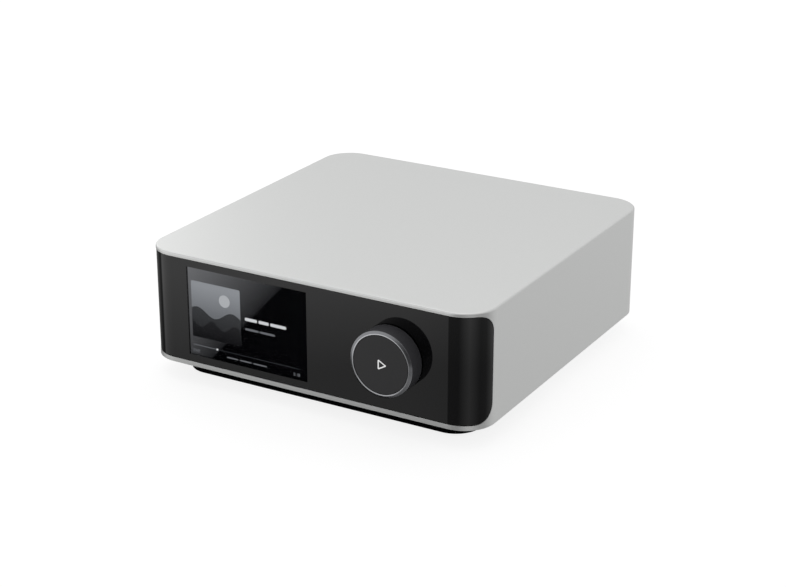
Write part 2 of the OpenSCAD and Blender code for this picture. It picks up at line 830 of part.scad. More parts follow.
module bulk_capacitor() {
  color([0.12, 0.12, 0.3]) translate([left_x + bulk_cap[0] + 2, psu_y - 4, board_top])
    can(bulk_cap[0], bulk_cap[1], 0.6);
}

module psu_heatsink() {
  color("gray") translate([psu_x - psu_sink[0] / 2, psu_sink_y, board_top]) {
    cube([psu_sink[0], psu_sink_web, psu_sink[2]]);
    for (i = [0:psu_sink_fins - 1])
      translate([i * (psu_sink[0] - fin_t) / (psu_sink_fins - 1), 0, 0])
        cube([fin_t, psu_sink[1], psu_sink[2]]);
  }
}

module mains_inlet() {
  color([0.08, 0.08, 0.08]) difference() {
    along_y(port_face - inlet_d, port_face)
      translate([port_x(INLET), board_top + inlet_h / 2]) stadium(inlet_w, inlet_h);
    along_y(port_face - inlet_deep, port_face + cut)
      translate([port_x(INLET), board_top + inlet_h / 2]) stadium(inlet_open_w, inlet_open_h);
  }
}

module mains_pins() {
  color("lightgray") for (s = [-1, 1]) rod_y(port_x(INLET) + s * pin_pitch / 2, board_top + inlet_h / 2,
    port_face - inlet_deep, port_face - pin_short, pin_r);
}

module rca_blocks() {
  color([0.1, 0.1, 0.1]) for (i = RCA) difference() {
    span(port_x(i) - rca_w / 2, port_x(i) + rca_w / 2, rear_in - rca_d, rear_in,
      board_top, board_top + rca_h);
    for (z = rca_z) rod_y(port_x(i), board_top + z, rear_in - rca_in, rear_in + cut, rca_neck_r + snug);
    rod_y(port_x(i), rca_screw_z, rear_in - rca_in, rear_in + cut, m2[0] + snug);
  }
}

module rca_barrels() {
  color("gold") for (i = RCA, z = rca_z) difference() {
    union() {
      rod_y(port_x(i), board_top + z, rear_out + rca_collar_out, rear_out + rca_out, rca_r);
      rod_y(port_x(i), board_top + z, rear_in - rca_in, rear_out + rca_out - cut, rca_neck_r);
    }
    rod_y(port_x(i), board_top + z, rear_in - rca_in + 1, rear_out + rca_out + cut, rca_bore);
  }
}

module rca_cores() {
  color("ivory") for (i = RCA, z = rca_z) difference() {
    rod_y(port_x(i), board_top + z, rear_in - rca_in + 1, rear_out + rca_out - 0.8, rca_bore - snug);
    rod_y(port_x(i), board_top + z, rear_in - 1, rear_out + rca_out, rca_pin_r);
  }
}
// Coloured ring at the foot of each barrel in one row
module collars(z) {
  for (i = RCA) difference() {
    rod_y(port_x(i), board_top + z, rear_in, rear_out + rca_collar_out, rca_collar_r);
    rod_y(port_x(i), board_top + z, rear_in - cut, rear_out + rca_collar_out + cut, rca_neck_r + snug);
  }
}

module rca_collars_red() {
  color("firebrick") collars(rca_z[0]);
}

module rca_collars_white() {
  color("white") collars(rca_z[1]);
}

module optical_housings() {
  color([0.15, 0.15, 0.15]) for (i = [TOS_OUT, TOS_IN]) translate([port_x(i), 0, 0]) difference() {
    span(-tos_w / 2, tos_w / 2, port_face - tos_d, port_face, board_top, board_top + tos_h);
    span(-tos_open / 2, tos_open / 2, port_face - tos_deep, port_face + cut,
      board_top + tos_floor, board_top + tos_floor + tos_open);
    translate([0, flap_y, flap_z]) rotate([0, 90, 0])
      cylinder(r = flap_pin_r + run, h = tos_w + 2 * cut, center = true);
  }
}
// Flap with its hinge pin, closed
module flap(i) {
  translate([port_x(i), flap_y, flap_z]) {
    rotate([0, 90, 0]) cylinder(r = flap_pin_r, h = tos_w - 2 * snug, center = true);
    span(-flap_w / 2, flap_w / 2, -flap_t / 2, flap_t / 2, board_top + tos_floor + slip - flap_z, 0);
  }
}

module optical_flap_in() {
  color([0.25, 0.25, 0.25]) flap(TOS_IN);
}

module optical_flap_out() {
  color([0.25, 0.25, 0.25]) flap(TOS_OUT);
}
// Sheet-metal tube of a socket
module port_tube(i, w, h, c, d) {
  along_y(port_face - d, port_face) translate([port_x(i), board_top]) difference() {
    port_plan(w, h, c);
    translate([0, metal_t]) port_plan(w - 2 * metal_t, h - 2 * metal_t, c);
  }
}
// Plastic inside a socket: a block at the back and a tongue towards the mouth
module port_core(i, w, h, c, d, tongue) {
  along_y(port_face - d, port_face - d + tongue_base) translate([port_x(i), board_top + metal_t + snug])
    port_plan(w - 2 * metal_t - 2 * snug, h - 2 * metal_t - 2 * snug, c);
  along_y(port_face - d, port_face - 1) translate([port_x(i), board_top + h / 2])
    square(tongue, center = true);
}

module hdmi_shell() {
  color("silver") port_tube(HDMI, hdmi_w, hdmi_h, hdmi_chamfer, hdmi_d);
}

module usb_shell() {
  color("silver") port_tube(USB, usb_w, usb_h, metal_t, usb_d);
}

module port_tongues() {
  color("black") {
    port_core(HDMI, hdmi_w, hdmi_h, hdmi_chamfer, hdmi_d, hdmi_tongue);
    port_core(USB, usb_w, usb_h, metal_t, usb_d, usb_tongue);
  }
}

module lan_shell() {
  color("silver") port_tube(LAN, lan_w, lan_h, metal_t, lan_d);
}

module lan_insert() {
  w = lan_w / 2 - metal_t - snug;
  z0 = board_top + metal_t + snug;
  z1 = board_top + lan_h - metal_t - snug;
  y0 = port_face - lan_deep;
  color([0.08, 0.08, 0.08]) translate([port_x(LAN), 0, 0]) difference() {
    along_y(port_face - lan_d, port_face - metal_t) translate([0, z0]) port_plan(2 * w, z1 - z0, metal_t);
    span(-lan_open_w / 2, lan_open_w / 2, y0, port_face, lan_z - lan_open_h / 2, lan_z + lan_open_h / 2);
    span(-latch_w / 2, latch_w / 2, y0, port_face, lan_z - lan_open_h / 2 - latch_h, lan_z);
  }
}

module ground_post() {
  color("gold") {
    rod_y(port_x(GROUND), ground_z, rear_in - lock_nut_t - 1, stud_end, stud_r);
    rod_y(port_x(GROUND), ground_z, rear_out, rear_out + ground_flange_t, ground_flange_r);
  }
}
// Ring on the ground post
module on_stud(y0, y1, r, bore) {
  difference() {
    rod_y(port_x(GROUND), ground_z, y0, y1, r);
    rod_y(port_x(GROUND), ground_z, y0 - cut, y1 + cut, bore);
  }
}

module ground_lock_nut() {
  color("silver") difference() {
    translate([port_x(GROUND), rear_in - lock_nut_t, ground_z]) rotate([-90, 0, 0])
      cylinder(r = ground_flange_r - 0.6, h = lock_nut_t, $fn = 6);
    rod_y(port_x(GROUND), ground_z, rear_in - lock_nut_t - cut, rear_in + cut, stud_r + snug);
  }
}

module ground_washer() {
  color("silver") on_stud(washer_y, washer_y + washer_t, ground_flange_r, stud_r + run);
}

module ground_nut() {
  color("gold") {
    on_stud(nut_y, nut_y + nut_len, nut_r - 0.4, stud_r + run);
    on_stud(nut_y + nut_len * 0.25, nut_y + nut_len - 0.5, nut_r, nut_r - 0.8);
  }
}

module base_screws() {
  color("dimgray") {
    at_base_screws() translate([0, 0, shell_z - seat_t]) rotate([180, 0, 0]) screw(m3, base_len);
    at_foot_screws() translate([0, 0, shell_z]) rotate([180, 0, 0]) screw(m3, base_len);
  }
}

module board_screws() {
  color("silver") for (p = standoff_at) translate([p[0], p[1], board_top]) screw(m3, board_t + 3);
}

module rear_screws() {
  color("black") {
    for (i = RCA) translate([port_x(i), rear_out, rca_screw_z]) rotate([-90, 0, 0])
      screw(m2, rear_t + rear_bite);
    for (s = [-1, 1]) translate([s * tab_x, rear_out, tab_screw_z]) rotate([-90, 0, 0])
      screw(m2, rear_t + tray_t + 2);
  }
}

module carrier_screws() {
  color("silver") {
    at_bracket_screws() translate([0, 0, bracket_back]) screw(m2, bracket_t + 3);
    at_knob_board_screws() translate([0, 0, -kb_front + board_t]) screw(m2, board_t + 3);
  }
}

shell();
front_panel();
touch_glass();
lcd_module();
lcd_bracket();
front_carrier();
knob_ring();
encoder_rotor();
encoder_stator();
knob_post();
knob_circlip();
knob_board();
play_button();
play_glyph();
switch_plunger();
switch_body();
button_board();
plinth();
sole_pad();
tray();
rear_panel();
main_board();
psu_board();
board_standoffs();
soc_shield();
heatsink();
wifi_module();
dac_shield();
capacitors();
ribbon_sockets();
ribbon_cables();
antenna_strips();
transformer_core();
transformer_winding();
bulk_capacitor();
psu_heatsink();
mains_inlet();
mains_pins();
rca_blocks();
rca_barrels();
rca_cores();
rca_collars_red();
rca_collars_white();
optical_housings();
optical_flap_in();
optical_flap_out();
hdmi_shell();
usb_shell();
port_tongues();
lan_shell();
lan_insert();
ground_post();
ground_lock_nut();
ground_washer();
ground_nut();
base_screws();
board_screws();
rear_screws();
carrier_screws();
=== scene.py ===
"""Looks of a network music streamer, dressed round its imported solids.

Metres, in the frame of the solids: X to the right, Y to the rear, Z up. Sizes in the code are in
millimetres and are turned into metres where a mesh is made.
"""

import json
import logging
import math
from collections.abc import Iterable, Sequence
from dataclasses import dataclass, field
from enum import Enum, IntEnum

import bmesh
import bpy
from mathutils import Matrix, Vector


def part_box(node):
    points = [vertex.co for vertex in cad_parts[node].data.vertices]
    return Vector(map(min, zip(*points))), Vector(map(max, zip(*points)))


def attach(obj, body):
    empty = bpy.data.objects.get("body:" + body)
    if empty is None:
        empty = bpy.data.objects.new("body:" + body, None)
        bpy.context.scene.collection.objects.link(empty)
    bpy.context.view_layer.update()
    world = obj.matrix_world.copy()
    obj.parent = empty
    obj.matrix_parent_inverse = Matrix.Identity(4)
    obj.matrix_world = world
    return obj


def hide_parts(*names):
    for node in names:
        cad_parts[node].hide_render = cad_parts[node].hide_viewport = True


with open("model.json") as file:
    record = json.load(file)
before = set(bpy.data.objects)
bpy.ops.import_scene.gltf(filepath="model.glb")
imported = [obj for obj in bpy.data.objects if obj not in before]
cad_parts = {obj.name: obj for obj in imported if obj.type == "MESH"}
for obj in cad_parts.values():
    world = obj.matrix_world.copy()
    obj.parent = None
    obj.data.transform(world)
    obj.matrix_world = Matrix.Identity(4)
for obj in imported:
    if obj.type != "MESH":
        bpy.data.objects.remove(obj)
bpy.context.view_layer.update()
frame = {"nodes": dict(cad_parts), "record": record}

LOG = logging.getLogger("streamer")
MM = 0.001
MICRON = 1e-6
MM_PER_METRE = 1000
Point = tuple[float, float]
Colour = tuple[float, float, float, float]
Links = dict[str | int, bpy.types.NodeSocket]

# Distance between two crests of the wave texture at a scale of one.
WAVE_PITCH = math.pi / 10
# Marks of brushing are fifty times as long as they are wide.
BRUSH_STRETCH = (0.02, 1.0, 1.0)
# Angles under which two faces count as one flat, and over which an edge counts as sharp.
FLAT_DEG = 0.4
SHARP_DEG = 35
# Least straight stretch, in millimetres, that is left of a side whose corners are both round.
HAIR = 1e-4


def box_mm(name: str) -> tuple[Vector, Vector]:
    """Return the lowest and the highest corner of a node's box, in millimetres."""
    low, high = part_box(name)
    return Vector(low) / MM, Vector(high) / MM


def axis_of(name: str) -> Point:
    """Return the place in X and Z of a turned node's axis, to a hundredth of a millimetre."""
    low, high = box_mm(name)
    return round((low.x + high.x) / 2, 2), round((low.z + high.z) / 2, 2)


FRONT_Y = round(box_mm("shell")[0].y, 2)
KNOB_AXIS = axis_of("knob_ring")
GROUND_AXIS = axis_of("ground_nut")


def linear(code: str, gain: float = 1.0) -> Colour:
    """Turn an sRGB hex colour into linear RGBA.

    Args:
        code: colour such as "#C0C0C0".
        gain: factor on the linear colour.

    Returns:
        Red, green, blue and an alpha of one.
    """
    parts = [int(code[i : i + 2], 16) / 255 for i in (1, 3, 5)]
    red, green, blue = (p / 12.92 if p <= 0.04045 else ((p + 0.055) / 1.055) ** 2.4 for p in parts)
    return (min(red * gain, 1.0), min(green * gain, 1.0), min(blue * gain, 1.0), 1.0)


def add_node(tree: bpy.types.NodeTree, kind: str, settings: dict | None = None, links: Links | None = None,
             stops: Sequence[tuple[float, Colour]] = ()) -> bpy.types.Node:
    """Add one shader node with its settings and links.

    Args:
        tree: node tree of a material or world.
        kind: type of the node, without its ShaderNode prefix.
        settings: values by the name of an input or of a property.
        links: sockets to join, by the name or number of the input.
        stops: place and colour of each stop, in order, of a node that has a colour ramp.

    Returns:
        The new node.
    """
    node = tree.nodes.new("ShaderNode" + kind)
    for key, value in (settings or {}).items():
        if key in node.inputs:
            node.inputs[key].default_value = value
        else:
            setattr(node, key, value)
    for key, socket in (links or {}).items():
        tree.links.new(socket, node.inputs[key])
    if stops:
        elements = node.color_ramp.elements
        while len(elements) < len(stops):
            elements.new(0.5)
        for element, (place, colour) in zip(elements, stops):
            element.position = place
            element.color = colour
    return node


class Pattern(Enum):
    """How the marks of a finish run over its surface."""

    GRAIN = "even grain, from blasting or a textured mould"
    BRUSHED = "fine lines along X, from rolling or drawing"
    TURNED = "rings round the knob's axis, from the lathe"
    TRACES = "tracks under solder mask"
    WOUND = "turns of tape, one above the other"


@dataclass(frozen=True)
class Finish:
    """Surface of one real material.

    Attributes:
        name: name of the material.
        colour: sRGB hex colour.
        metallic: one for bare metal, otherwise zero.
        roughness: middle roughness.
        pattern: how the marks run.
        grain_mm: size of the marks.
        bump_um: height of the marks.
        stray: share by which the colour strays from its middle.
        wear: how far the roughness strays from its middle.
        gloss: level of the reflection, half for a smooth surface and less for a deep texture.
    """

    name: str
    colour: str
    metallic: float = 0.0
    roughness: float = 0.5
    pattern: Pattern = Pattern.GRAIN
    grain_mm: float = 0.4
    bump_um: float = 2.0
    stray: float = 0.05
    wear: float = 0.04
    gloss: float = 0.5

    def make(self) -> bpy.types.Material:
        """Build the material on its first use.

        Returns:
            The material, which later uses share.
        """
        found = bpy.data.materials.get(self.name)
        if found:
            return found
        material = bpy.data.materials.new(self.name)
        material.use_nodes = True
        material.diffuse_color = linear(self.colour)
        self.paint(material.node_tree, material.node_tree.nodes["Principled BSDF"])
        return material

    def paint(self, tree: bpy.types.NodeTree, shader: bpy.types.Node) -> None:
        """Lead the marks to the colour, the roughness and the bump of the shader.

        Args:
            tree: node tree of the material.
            shader: its main shader.
        """
        marks = self.marks(tree)
        shader.inputs["Metallic"].default_value = self.metallic
        shader.inputs["Specular IOR Level"].default_value = self.gloss
        shades = [(0.25, linear(self.colour, 1 - self.stray)), (0.75, linear(self.colour, 1 + self.stray))]
        colour = add_node(tree, "ValToRGB", links={"Fac": marks}, stops=shades)
        rough = add_node(tree, "MapRange", {"To Min": max(self.roughness - self.wear, 0.0),
                                            "To Max": min(self.roughness + self.wear, 1.0)},
                         {"Value": marks})
        bump = add_node(tree, "Bump", {"Strength": 1.0, "Distance": self.bump_um * MICRON},
                        {"Height": marks})
        tree.links.new(colour.outputs["Color"], shader.inputs["Base Color"])
        tree.links.new(rough.outputs["Result"], shader.inputs["Roughness"])
        tree.links.new(bump.outputs["Normal"], shader.inputs["Normal"])

    def marks(self, tree: bpy.types.NodeTree) -> bpy.types.NodeSocket:
        """Add the pattern's texture.

        Args:
            tree: node tree of the material.

        Returns:
            Socket of the marks, from zero to one.
        """
        spot = add_node(tree, "TexCoord").outputs["Object"]
        noise_scale = MM_PER_METRE / self.grain_mm
        wave_scale = WAVE_PITCH * MM_PER_METRE / self.grain_mm
        if self.pattern is Pattern.BRUSHED:
            spot = add_node(tree, "Mapping", {"Scale": BRUSH_STRETCH}, {"Vector": spot}).outputs["Vector"]
        if self.pattern is Pattern.TURNED:
            middle = (-KNOB_AXIS[0] * MM, 0.0, -KNOB_AXIS[1] * MM)
            spot = add_node(tree, "Mapping", {"Location": middle}, {"Vector": spot}).outputs["Vector"]
            rings = {"wave_type": "RINGS", "rings_direction": "Y", "Scale": wave_scale,
                     "Distortion": 0.6, "Detail": 2.0}
            return add_node(tree, "TexWave", rings, {"Vector": spot}).outputs["Fac"]
        if self.pattern is Pattern.TRACES:
            tracks = {"Scale": noise_scale, "Mortar Size": 0.06, "Mortar Smooth": 0.3,
                      "offset": 0.37, "squash": 0.6}
            return add_node(tree, "TexBrick", tracks, {"Vector": spot}).outputs["Fac"]
        if self.pattern is Pattern.WOUND:
            turns = {"bands_direction": "Z", "Scale": wave_scale, "Distortion": 0.2}
            return add_node(tree, "TexWave", turns, {"Vector": spot}).outputs["Fac"]
        grains = {"Scale": noise_scale, "Detail": 3.0, "Roughness": 0.6}
        return add_node(tree, "TexNoise", grains, {"Vector": spot}).outputs["Fac"]


@dataclass(frozen=True)
class CoatedGlass(Finish):
    """Clear glass with a coating that takes most of its reflection away.

    Attributes:
        ior: index that gives the reflection left by the coating.
    """

    ior: float = 1.06

    def paint(self, tree: bpy.types.NodeTree, shader: bpy.types.Node) -> None:
        """Add the clear body under the faint marks of wiping.

        Args:
            tree: node tree of the material.
            shader: its main shader.
        """
        super().paint(tree, shader)
        shader.inputs["Transmission Weight"].default_value = 1.0
        shader.inputs["IOR"].default_value = self.ior


@dataclass(frozen=True)
class Lit(Finish):
    """Shining area of the display, or a mark lit from behind.

    Attributes:
        fade: sRGB hex colour at the lower end.
        low_mm: place of the lower end along the fade's way.
        high_mm: place at which the full colour is reached.
        slant: angle of the fade's way from upright, towards the left, in degrees.
        pixel_mm: pitch of the pixel grid.
        grid_line: width of the lines between pixels, in the grid texture's own measure.
        grid_glow: light of those lines, as a share of the full light.
        unlit: sRGB hex colour of the surface when it doesn't shine.
    """

    roughness: float = 0.3
    fade: str = ""
    low_mm: float = 18.0
    high_mm: float = 67.0
    slant: float = 0.0
    pixel_mm: float = 0.3
    grid_line: float = 0.02
    grid_glow: float = 0.8
    unlit: str = "#020202"

    def paint(self, tree: bpy.types.NodeTree, shader: bpy.types.Node) -> None:
        """Lead a colour that fades along its way, crossed by the pixel grid, to the shader's light.

        Args:
            tree: node tree of the material.
            shader: its main shader.
        """
        spot = add_node(tree, "TexCoord").outputs["Object"]
        lean = (0.0, math.radians(self.slant), 0.0)
        turned = add_node(tree, "Mapping", {"Rotation": lean}, {"Vector": spot})
        height = add_node(tree, "SeparateXYZ", links={"Vector": turned.outputs["Vector"]}).outputs["Z"]
        share = add_node(tree, "MapRange", {"From Min": self.low_mm * MM, "From Max": self.high_mm * MM},
                         {"Value": height}).outputs["Result"]
        shades = [(0.0, linear(self.fade or self.colour)), (1.0, linear(self.colour))]
        colour = add_node(tree, "ValToRGB", links={"Fac": share}, stops=shades)
        flat = add_node(tree, "Mapping", {"Rotation": (math.pi / 2, 0.0, 0.0)}, {"Vector": spot})
        pixels = {"Scale": MM_PER_METRE / self.pixel_mm, "Mortar Size": self.grid_line, "offset": 0.0,
                  "Brick Width": 1.0, "Row Height": 1.0}
        grid = add_node(tree, "TexBrick", pixels, {"Vector": flat.outputs["Vector"]}).outputs["Fac"]
        glow = add_node(tree, "MapRange", {"To Min": 1.0, "To Max": self.grid_glow},
                        {"Value": grid}).outputs["Result"]
        tree.links.new(colour.outputs["Color"], shader.inputs["Emission Color"])
        tree.links.new(glow, shader.inputs["Emission Strength"])
        shader.inputs["Base Color"].default_value = linear(self.unlit)
        shader.inputs["Roughness"].default_value = self.roughness
        shader.inputs["Specular IOR Level"].default_value = 0.0


# Blasted with glass beads, then clear anodised: an even, silky sheen. The grain is drawn coarser
# than the real 0.1 mm.
SILVER = Finish("Bead-blasted anodised aluminium", "#E3E4E3", 1.0, 0.44, grain_mm=0.35, bump_um=1.2,
                stray=0.03)
# Moulded in a mirror-polished tool: deep, sharp reflections over a long, low ripple.
GLOSS_BLACK = Finish("Polished black ABS", "#050506", roughness=0.04, grain_mm=9.0, bump_um=0.4, wear=0.02)
# Float glass, coated against reflections and wiped clean: nearly unseen.
COVER = CoatedGlass("Coated cover glass", "#F2F4F5", roughness=0.01, grain_mm=14.0, bump_um=0.05, stray=0.01,
                    wear=0.01)
# Lathe-turned, etched and dyed black: a dull gleam in rings, drawn coarser than the real 0.05 mm
# feed.
DYED = Finish("Black anodised aluminium", "#1B1B1D", roughness=0.30, pattern=Pattern.TURNED, grain_mm=0.25,
              bump_um=0.6, stray=0.08)
# Cut with a diamond after the dye: a bright line of bare metal, its rings drawn as coarse as they
# need to show.
BRIGHT_CUT = Finish("Diamond-cut aluminium", "#BEBFC2", 1.0, 0.16, Pattern.TURNED, grain_mm=0.12, bump_um=0.2)
# Cut before the dye: bright metal through a thin grey film, its rings as coarse.
BEVEL_CUT = Finish("Dyed cut aluminium", "#86878A", 1.0, 0.24, Pattern.TURNED, grain_mm=0.12, bump_um=0.3)
# Blasted round the grip, then dyed black: dull, with a fine grain.
GRIP = Finish("Blasted black aluminium", "#3D3D40", roughness=0.42, grain_mm=0.3, bump_um=4.0, stray=0.08)
# Moulded against a deeply etched tool, whose pits swallow most of the light.
ETCHED_BLACK = Finish("Deep-textured black ABS", "#040404", roughness=0.75, grain_mm=0.7, bump_um=25.0,
                      stray=0.15, gloss=0.06)
# Turned brass under a thin layer of gold: warm and bright.
GOLD = Finish("Gold-plated brass", "#E2C07A", 1.0, 0.18, grain_mm=0.6, bump_um=0.4, stray=0.03)
# A matt dark grey sheet of the studio: painted shade, seen in reflections alone, that stands for the floor's
# shadow before the front.
PAINTED_SHADE = Finish("Matt grey card", "#3A3A3A", roughness=0.9, grain_mm=1.0, bump_um=5.0)
# Cast acrylic, polished, with a white lamp behind it: an even glow.
MARK_WHITE = Lit("White light through acrylic", "#E6E6E6")

FINISHES: dict[str, Finish] = {
    "anodised_silver": SILVER,
    "gloss_black": GLOSS_BLACK,
    "cover_glass": COVER,
    # Liquid crystal panel behind a black mask: near black where it doesn't shine.
    "display": Finish("Display panel", "#08080A", roughness=0.35, grain_mm=0.3, bump_um=0.2),
    # Cold-rolled sheet, zinc plated: cool grey, with faint lines along the rolling.
    "zinc_steel": Finish("Zinc-plated steel", "#B8BABC", 1.0, 0.34, Pattern.BRUSHED, grain_mm=0.25,
                         bump_um=1.0),
    # Injection moulded in a spark-eroded tool: a fine, dull grain.
    "black_abs": Finish("Textured black ABS", "#0C0C0D", roughness=0.55, grain_mm=0.4, bump_um=12.0,
                        stray=0.12),
    "black_anodised": DYED,
    "mark_white": MARK_WHITE,
    # Acetal, moulded smooth: a soft, waxy sheen.
    "white_acetal": Finish("White acetal", "#E2E1DA", roughness=0.38, grain_mm=1.5, bump_um=1.0),
    # Rubber sheet, pressed against a matt plate: dull all over.
    "black_rubber": Finish("Black rubber", "#0B0B0B", roughness=0.8, grain_mm=0.6, bump_um=18.0, stray=0.15),
    # Copper tracks under green mask on glass-epoxy laminate: raised lines under a glossy coat.
    "board_green": Finish("Green solder mask", "#1E5A34", roughness=0.30, pattern=Pattern.TRACES,
                          grain_mm=2.5, bump_um=20.0, stray=0.25),
    "gold_plate": GOLD,
    # Turned from bar: yellow, with fine lines from the tool.
    "bare_brass": Finish("Turned brass", "#C8A65E", 1.0, 0.28, Pattern.BRUSHED, grain_mm=0.2, bump_um=0.8),
    # Drawn through a die, then dyed black: satin, with lines along the fins.
    "black_extrusion": Finish("Black extruded aluminium", "#17171A", roughness=0.38, pattern=Pattern.BRUSHED,
                              grain_mm=0.3, bump_um=1.5, stray=0.1),
    # Plastic sleeve shrunk on a drawn can: smooth and glossy.
    "can_sleeve": Finish("Shrink sleeve", "#16203A", roughness=0.24, grain_mm=3.0, bump_um=1.0),
    # Pressed powder, sintered: dull and speckled.
    "ferrite": Finish("Sintered ferrite", "#2B2B2D", roughness=0.75, grain_mm=0.5, bump_um=8.0, stray=0.15),
    # Polyester tape in overlapping turns: glossy, in low steps.
    "coil_tape": Finish("Polyester tape", "#D8B83C", roughness=0.35, pattern=Pattern.WOUND, grain_mm=3.0,
                        bump_um=30.0, stray=0.08),
    # Flat conductors between two films: pale, with a ridge over each conductor.
    "ribbon_film": Finish("Flat ribbon cable", "#D9DBDF", roughness=0.42, pattern=Pattern.WOUND, grain_mm=1.0,
                          bump_um=10.0),
    # Copper etched on polyimide film: smooth and amber.
    "antenna_film": Finish("Polyimide film", "#B4691E", roughness=0.30, grain_mm=2.0, bump_um=1.0, stray=0.1),
    # Moulded in colour: smooth and bright.
    "red_plastic": Finish("Red ABS", "#B0201C", roughness=0.28, grain_mm=2.0, bump_um=0.8),
    "white_plastic": Finish("White ABS", "#ECEBE5", roughness=0.28, grain_mm=2.0, bump_um=0.8),
    # Nickel plated over turned or stamped metal: a warm, bright grey.
    "nickel_plate": Finish("Nickel plate", "#C8C7C3", 1.0, 0.20, grain_mm=0.5, bump_um=0.5, stray=0.03),
    # Cold-headed, black zinc plated: dark, with a dull gleam.
    "black_screw": Finish("Black zinc-plated steel", "#1A1A1C", 1.0, 0.42, grain_mm=0.3, bump_um=3.0,
                          stray=0.1),
}
SLOT_OF: dict[str, str] = {s["node"]: s["material_slot"] for s in frame["record"]["subparts"]}
# Nodes that modelled pieces stand for.
REPLACED = {"knob_ring", "play_glyph", "rear_screws", "ground_nut"}


def new_object(name: str, vertices: Iterable[Sequence[float]], faces: Iterable[Sequence[int]],
               finishes: Sequence[Finish], kinds: Sequence[int] | None = None) -> bpy.types.Object:
    """Make a mesh object from points in millimetres.

    Args:
        name: name of the piece.
        vertices: points in millimetres.
        faces: indices of each face's points.
        finishes: finishes, in the order of the mesh's material slots.
        kinds: number of the finish of each face, or None for the first.

    Returns:
        The new object, linked to the scene.
    """
    mesh = bpy.data.meshes.new(name)
    mesh.from_pydata([tuple(c * MM for c in v) for v in vertices], [], [tuple(f) for f in faces])
    for finish in finishes:
        mesh.materials.append(finish.make())
    if kinds is not None:
        mesh.polygons.foreach_set("material_index", list(kinds))
    work = bmesh.new()
    work.from_mesh(mesh)
    bmesh.ops.recalc_face_normals(work, faces=work.faces)
    work.to_mesh(mesh)
    work.free()
    mesh.shade_smooth()
    piece = bpy.data.objects.new(name, mesh)
    bpy.context.scene.collection.objects.link(piece)
    return piece


def soften(piece: bpy.types.Object, width_mm: float, join: bool = False) -> None:
    """Break the sharp edges of a piece and keep its flats flat.

    Args:
        piece: mesh object, which keeps its mesh.
        width_mm: width of the broken edges.
        join: whether split points are joined and flat triangles merged first.
    """
    if join:
        piece.modifiers.new("join", "WELD").merge_threshold = MICRON
        merge = piece.modifiers.new("merge", "DECIMATE")
        merge.decimate_type = "DISSOLVE"
        merge.angle_limit = math.radians(FLAT_DEG)
    bevel = piece.modifiers.new("edge", "BEVEL")
    bevel.width = width_mm * MM
    bevel.segments = 2
    bevel.limit_method = "ANGLE"
    bevel.angle_limit = math.radians(SHARP_DEG)
    bevel.harden_normals = True
    piece.modifiers.new("shade", "WEIGHTED_NORMAL").keep_sharp = True


def dress_node(name: str, width_mm: float, finish: Finish | None = None) -> None:
    """Give a solid of the frame its finish and its broken edges.

    Args:
        name: name of the node.
        width_mm: width of the broken edges.
        finish: finish to use in place of the record's slot.
    """
    node = frame["nodes"][name]
    node.data.materials.clear()
    node.data.materials.append((finish or FINISHES[SLOT_OF[name]]).make())
    soften(node, width_mm, join=True)


def undressed() -> list[str]:
    """Return the names of the solids that have no finish yet and that no modelled piece stands for."""
    return [name for name, node in frame["nodes"].items() if name not in REPLACED and not node.modifiers]


def seat(piece: bpy.types.Object, body: str, slot: str, *nodes: str) -> bpy.types.Object:
    """Fix a piece to a body, and hide the solids it stands for.

    Args:
        piece: modelled piece in its place.
        body: body that carries it.
        slot: slot of the record for the piece's finish; not used.
        nodes: solids that aren't shown any more.

    Returns:
        The same piece.
    """
    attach(piece, body)
    if nodes:
        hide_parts(*nodes)
    return piece


def loop_faces(loops: int, count: int) -> list[tuple[int, int, int, int]]:
    """Join loops of points in their order, and the last loop to the first.

    Args:
        loops: number of loops.
        count: points of each loop.

    Returns:
        Indices of each face's points.
    """
    faces = []
    for loop in range(loops):
        here, there = loop * count, (loop + 1) % loops * count
        for point in range(count):
            after = (point + 1) % count
            faces.append((here + point, here + after, there + after, there + point))
    return faces


def lathe(name: str, profile: Sequence[tuple[float, float, int]], axis: Point, finishes: Sequence[Finish],
          front: float, steps: int, sign: int = 1, teeth: int = 0,
          tooth_mm: float = 0.0) -> bpy.types.Object:
    """Turn a closed profile round an axis along Y.

    Args:
        name: name of the piece.
        profile: radius, distance along the axis and finish of the face that follows, of each point.
        axis: place of the axis in X and Z.
        finishes: finishes that the profile numbers.
        front: place in Y of distance zero.
        steps: points round the axis.
        sign: one to count distances towards the rear, minus one towards the front.
        teeth: number of ridges on the widest part.
        tooth_mm: height of the ridges.

    Returns:
        The new piece.
    """
    widest = max(radius for radius, _, _ in profile)
    vertices = []
    for radius, along, _ in profile:
        ridged = teeth > 0 and math.isclose(radius, widest)
        for step in range(steps):
            angle = math.tau * step / steps
            depth = tooth_mm * (0.5 + 0.5 * math.cos(teeth * angle)) if ridged else 0.0
            reach = radius - depth
            vertices.append((axis[0] + reach * math.cos(angle), front + sign * along,
                             axis[1] + reach * math.sin(angle)))
    kinds = [kind for _, _, kind in profile for _ in range(steps)]
    return new_object(name, vertices, loop_faces(len(profile), steps), finishes, kinds)


def rounded(low: Point, high: Point, radius: float, steps: int = 5) -> list[Point]:
    """Draw a rectangle with round corners.

    Args:
        low: lower left corner.
        high: upper right corner.
        radius: radius of the corners, which short sides make smaller.
        steps: points of each corner.

    Returns:
        Points of the outline, in order.
    """
    radius = min(radius, (high[0] - low[0]) / 2 - HAIR, (high[1] - low[1]) / 2 - HAIR)
    middles = ((high[0] - radius, high[1] - radius), (low[0] + radius, high[1] - radius),
               (low[0] + radius, low[1] + radius), (high[0] - radius, low[1] + radius))
    return [(x + radius * math.cos(math.pi / 2 * (corner + i / (steps - 1))),
             z + radius * math.sin(math.pi / 2 * (corner + i / (steps - 1))))
            for corner, (x, z) in enumerate(middles) for i in range(steps)]


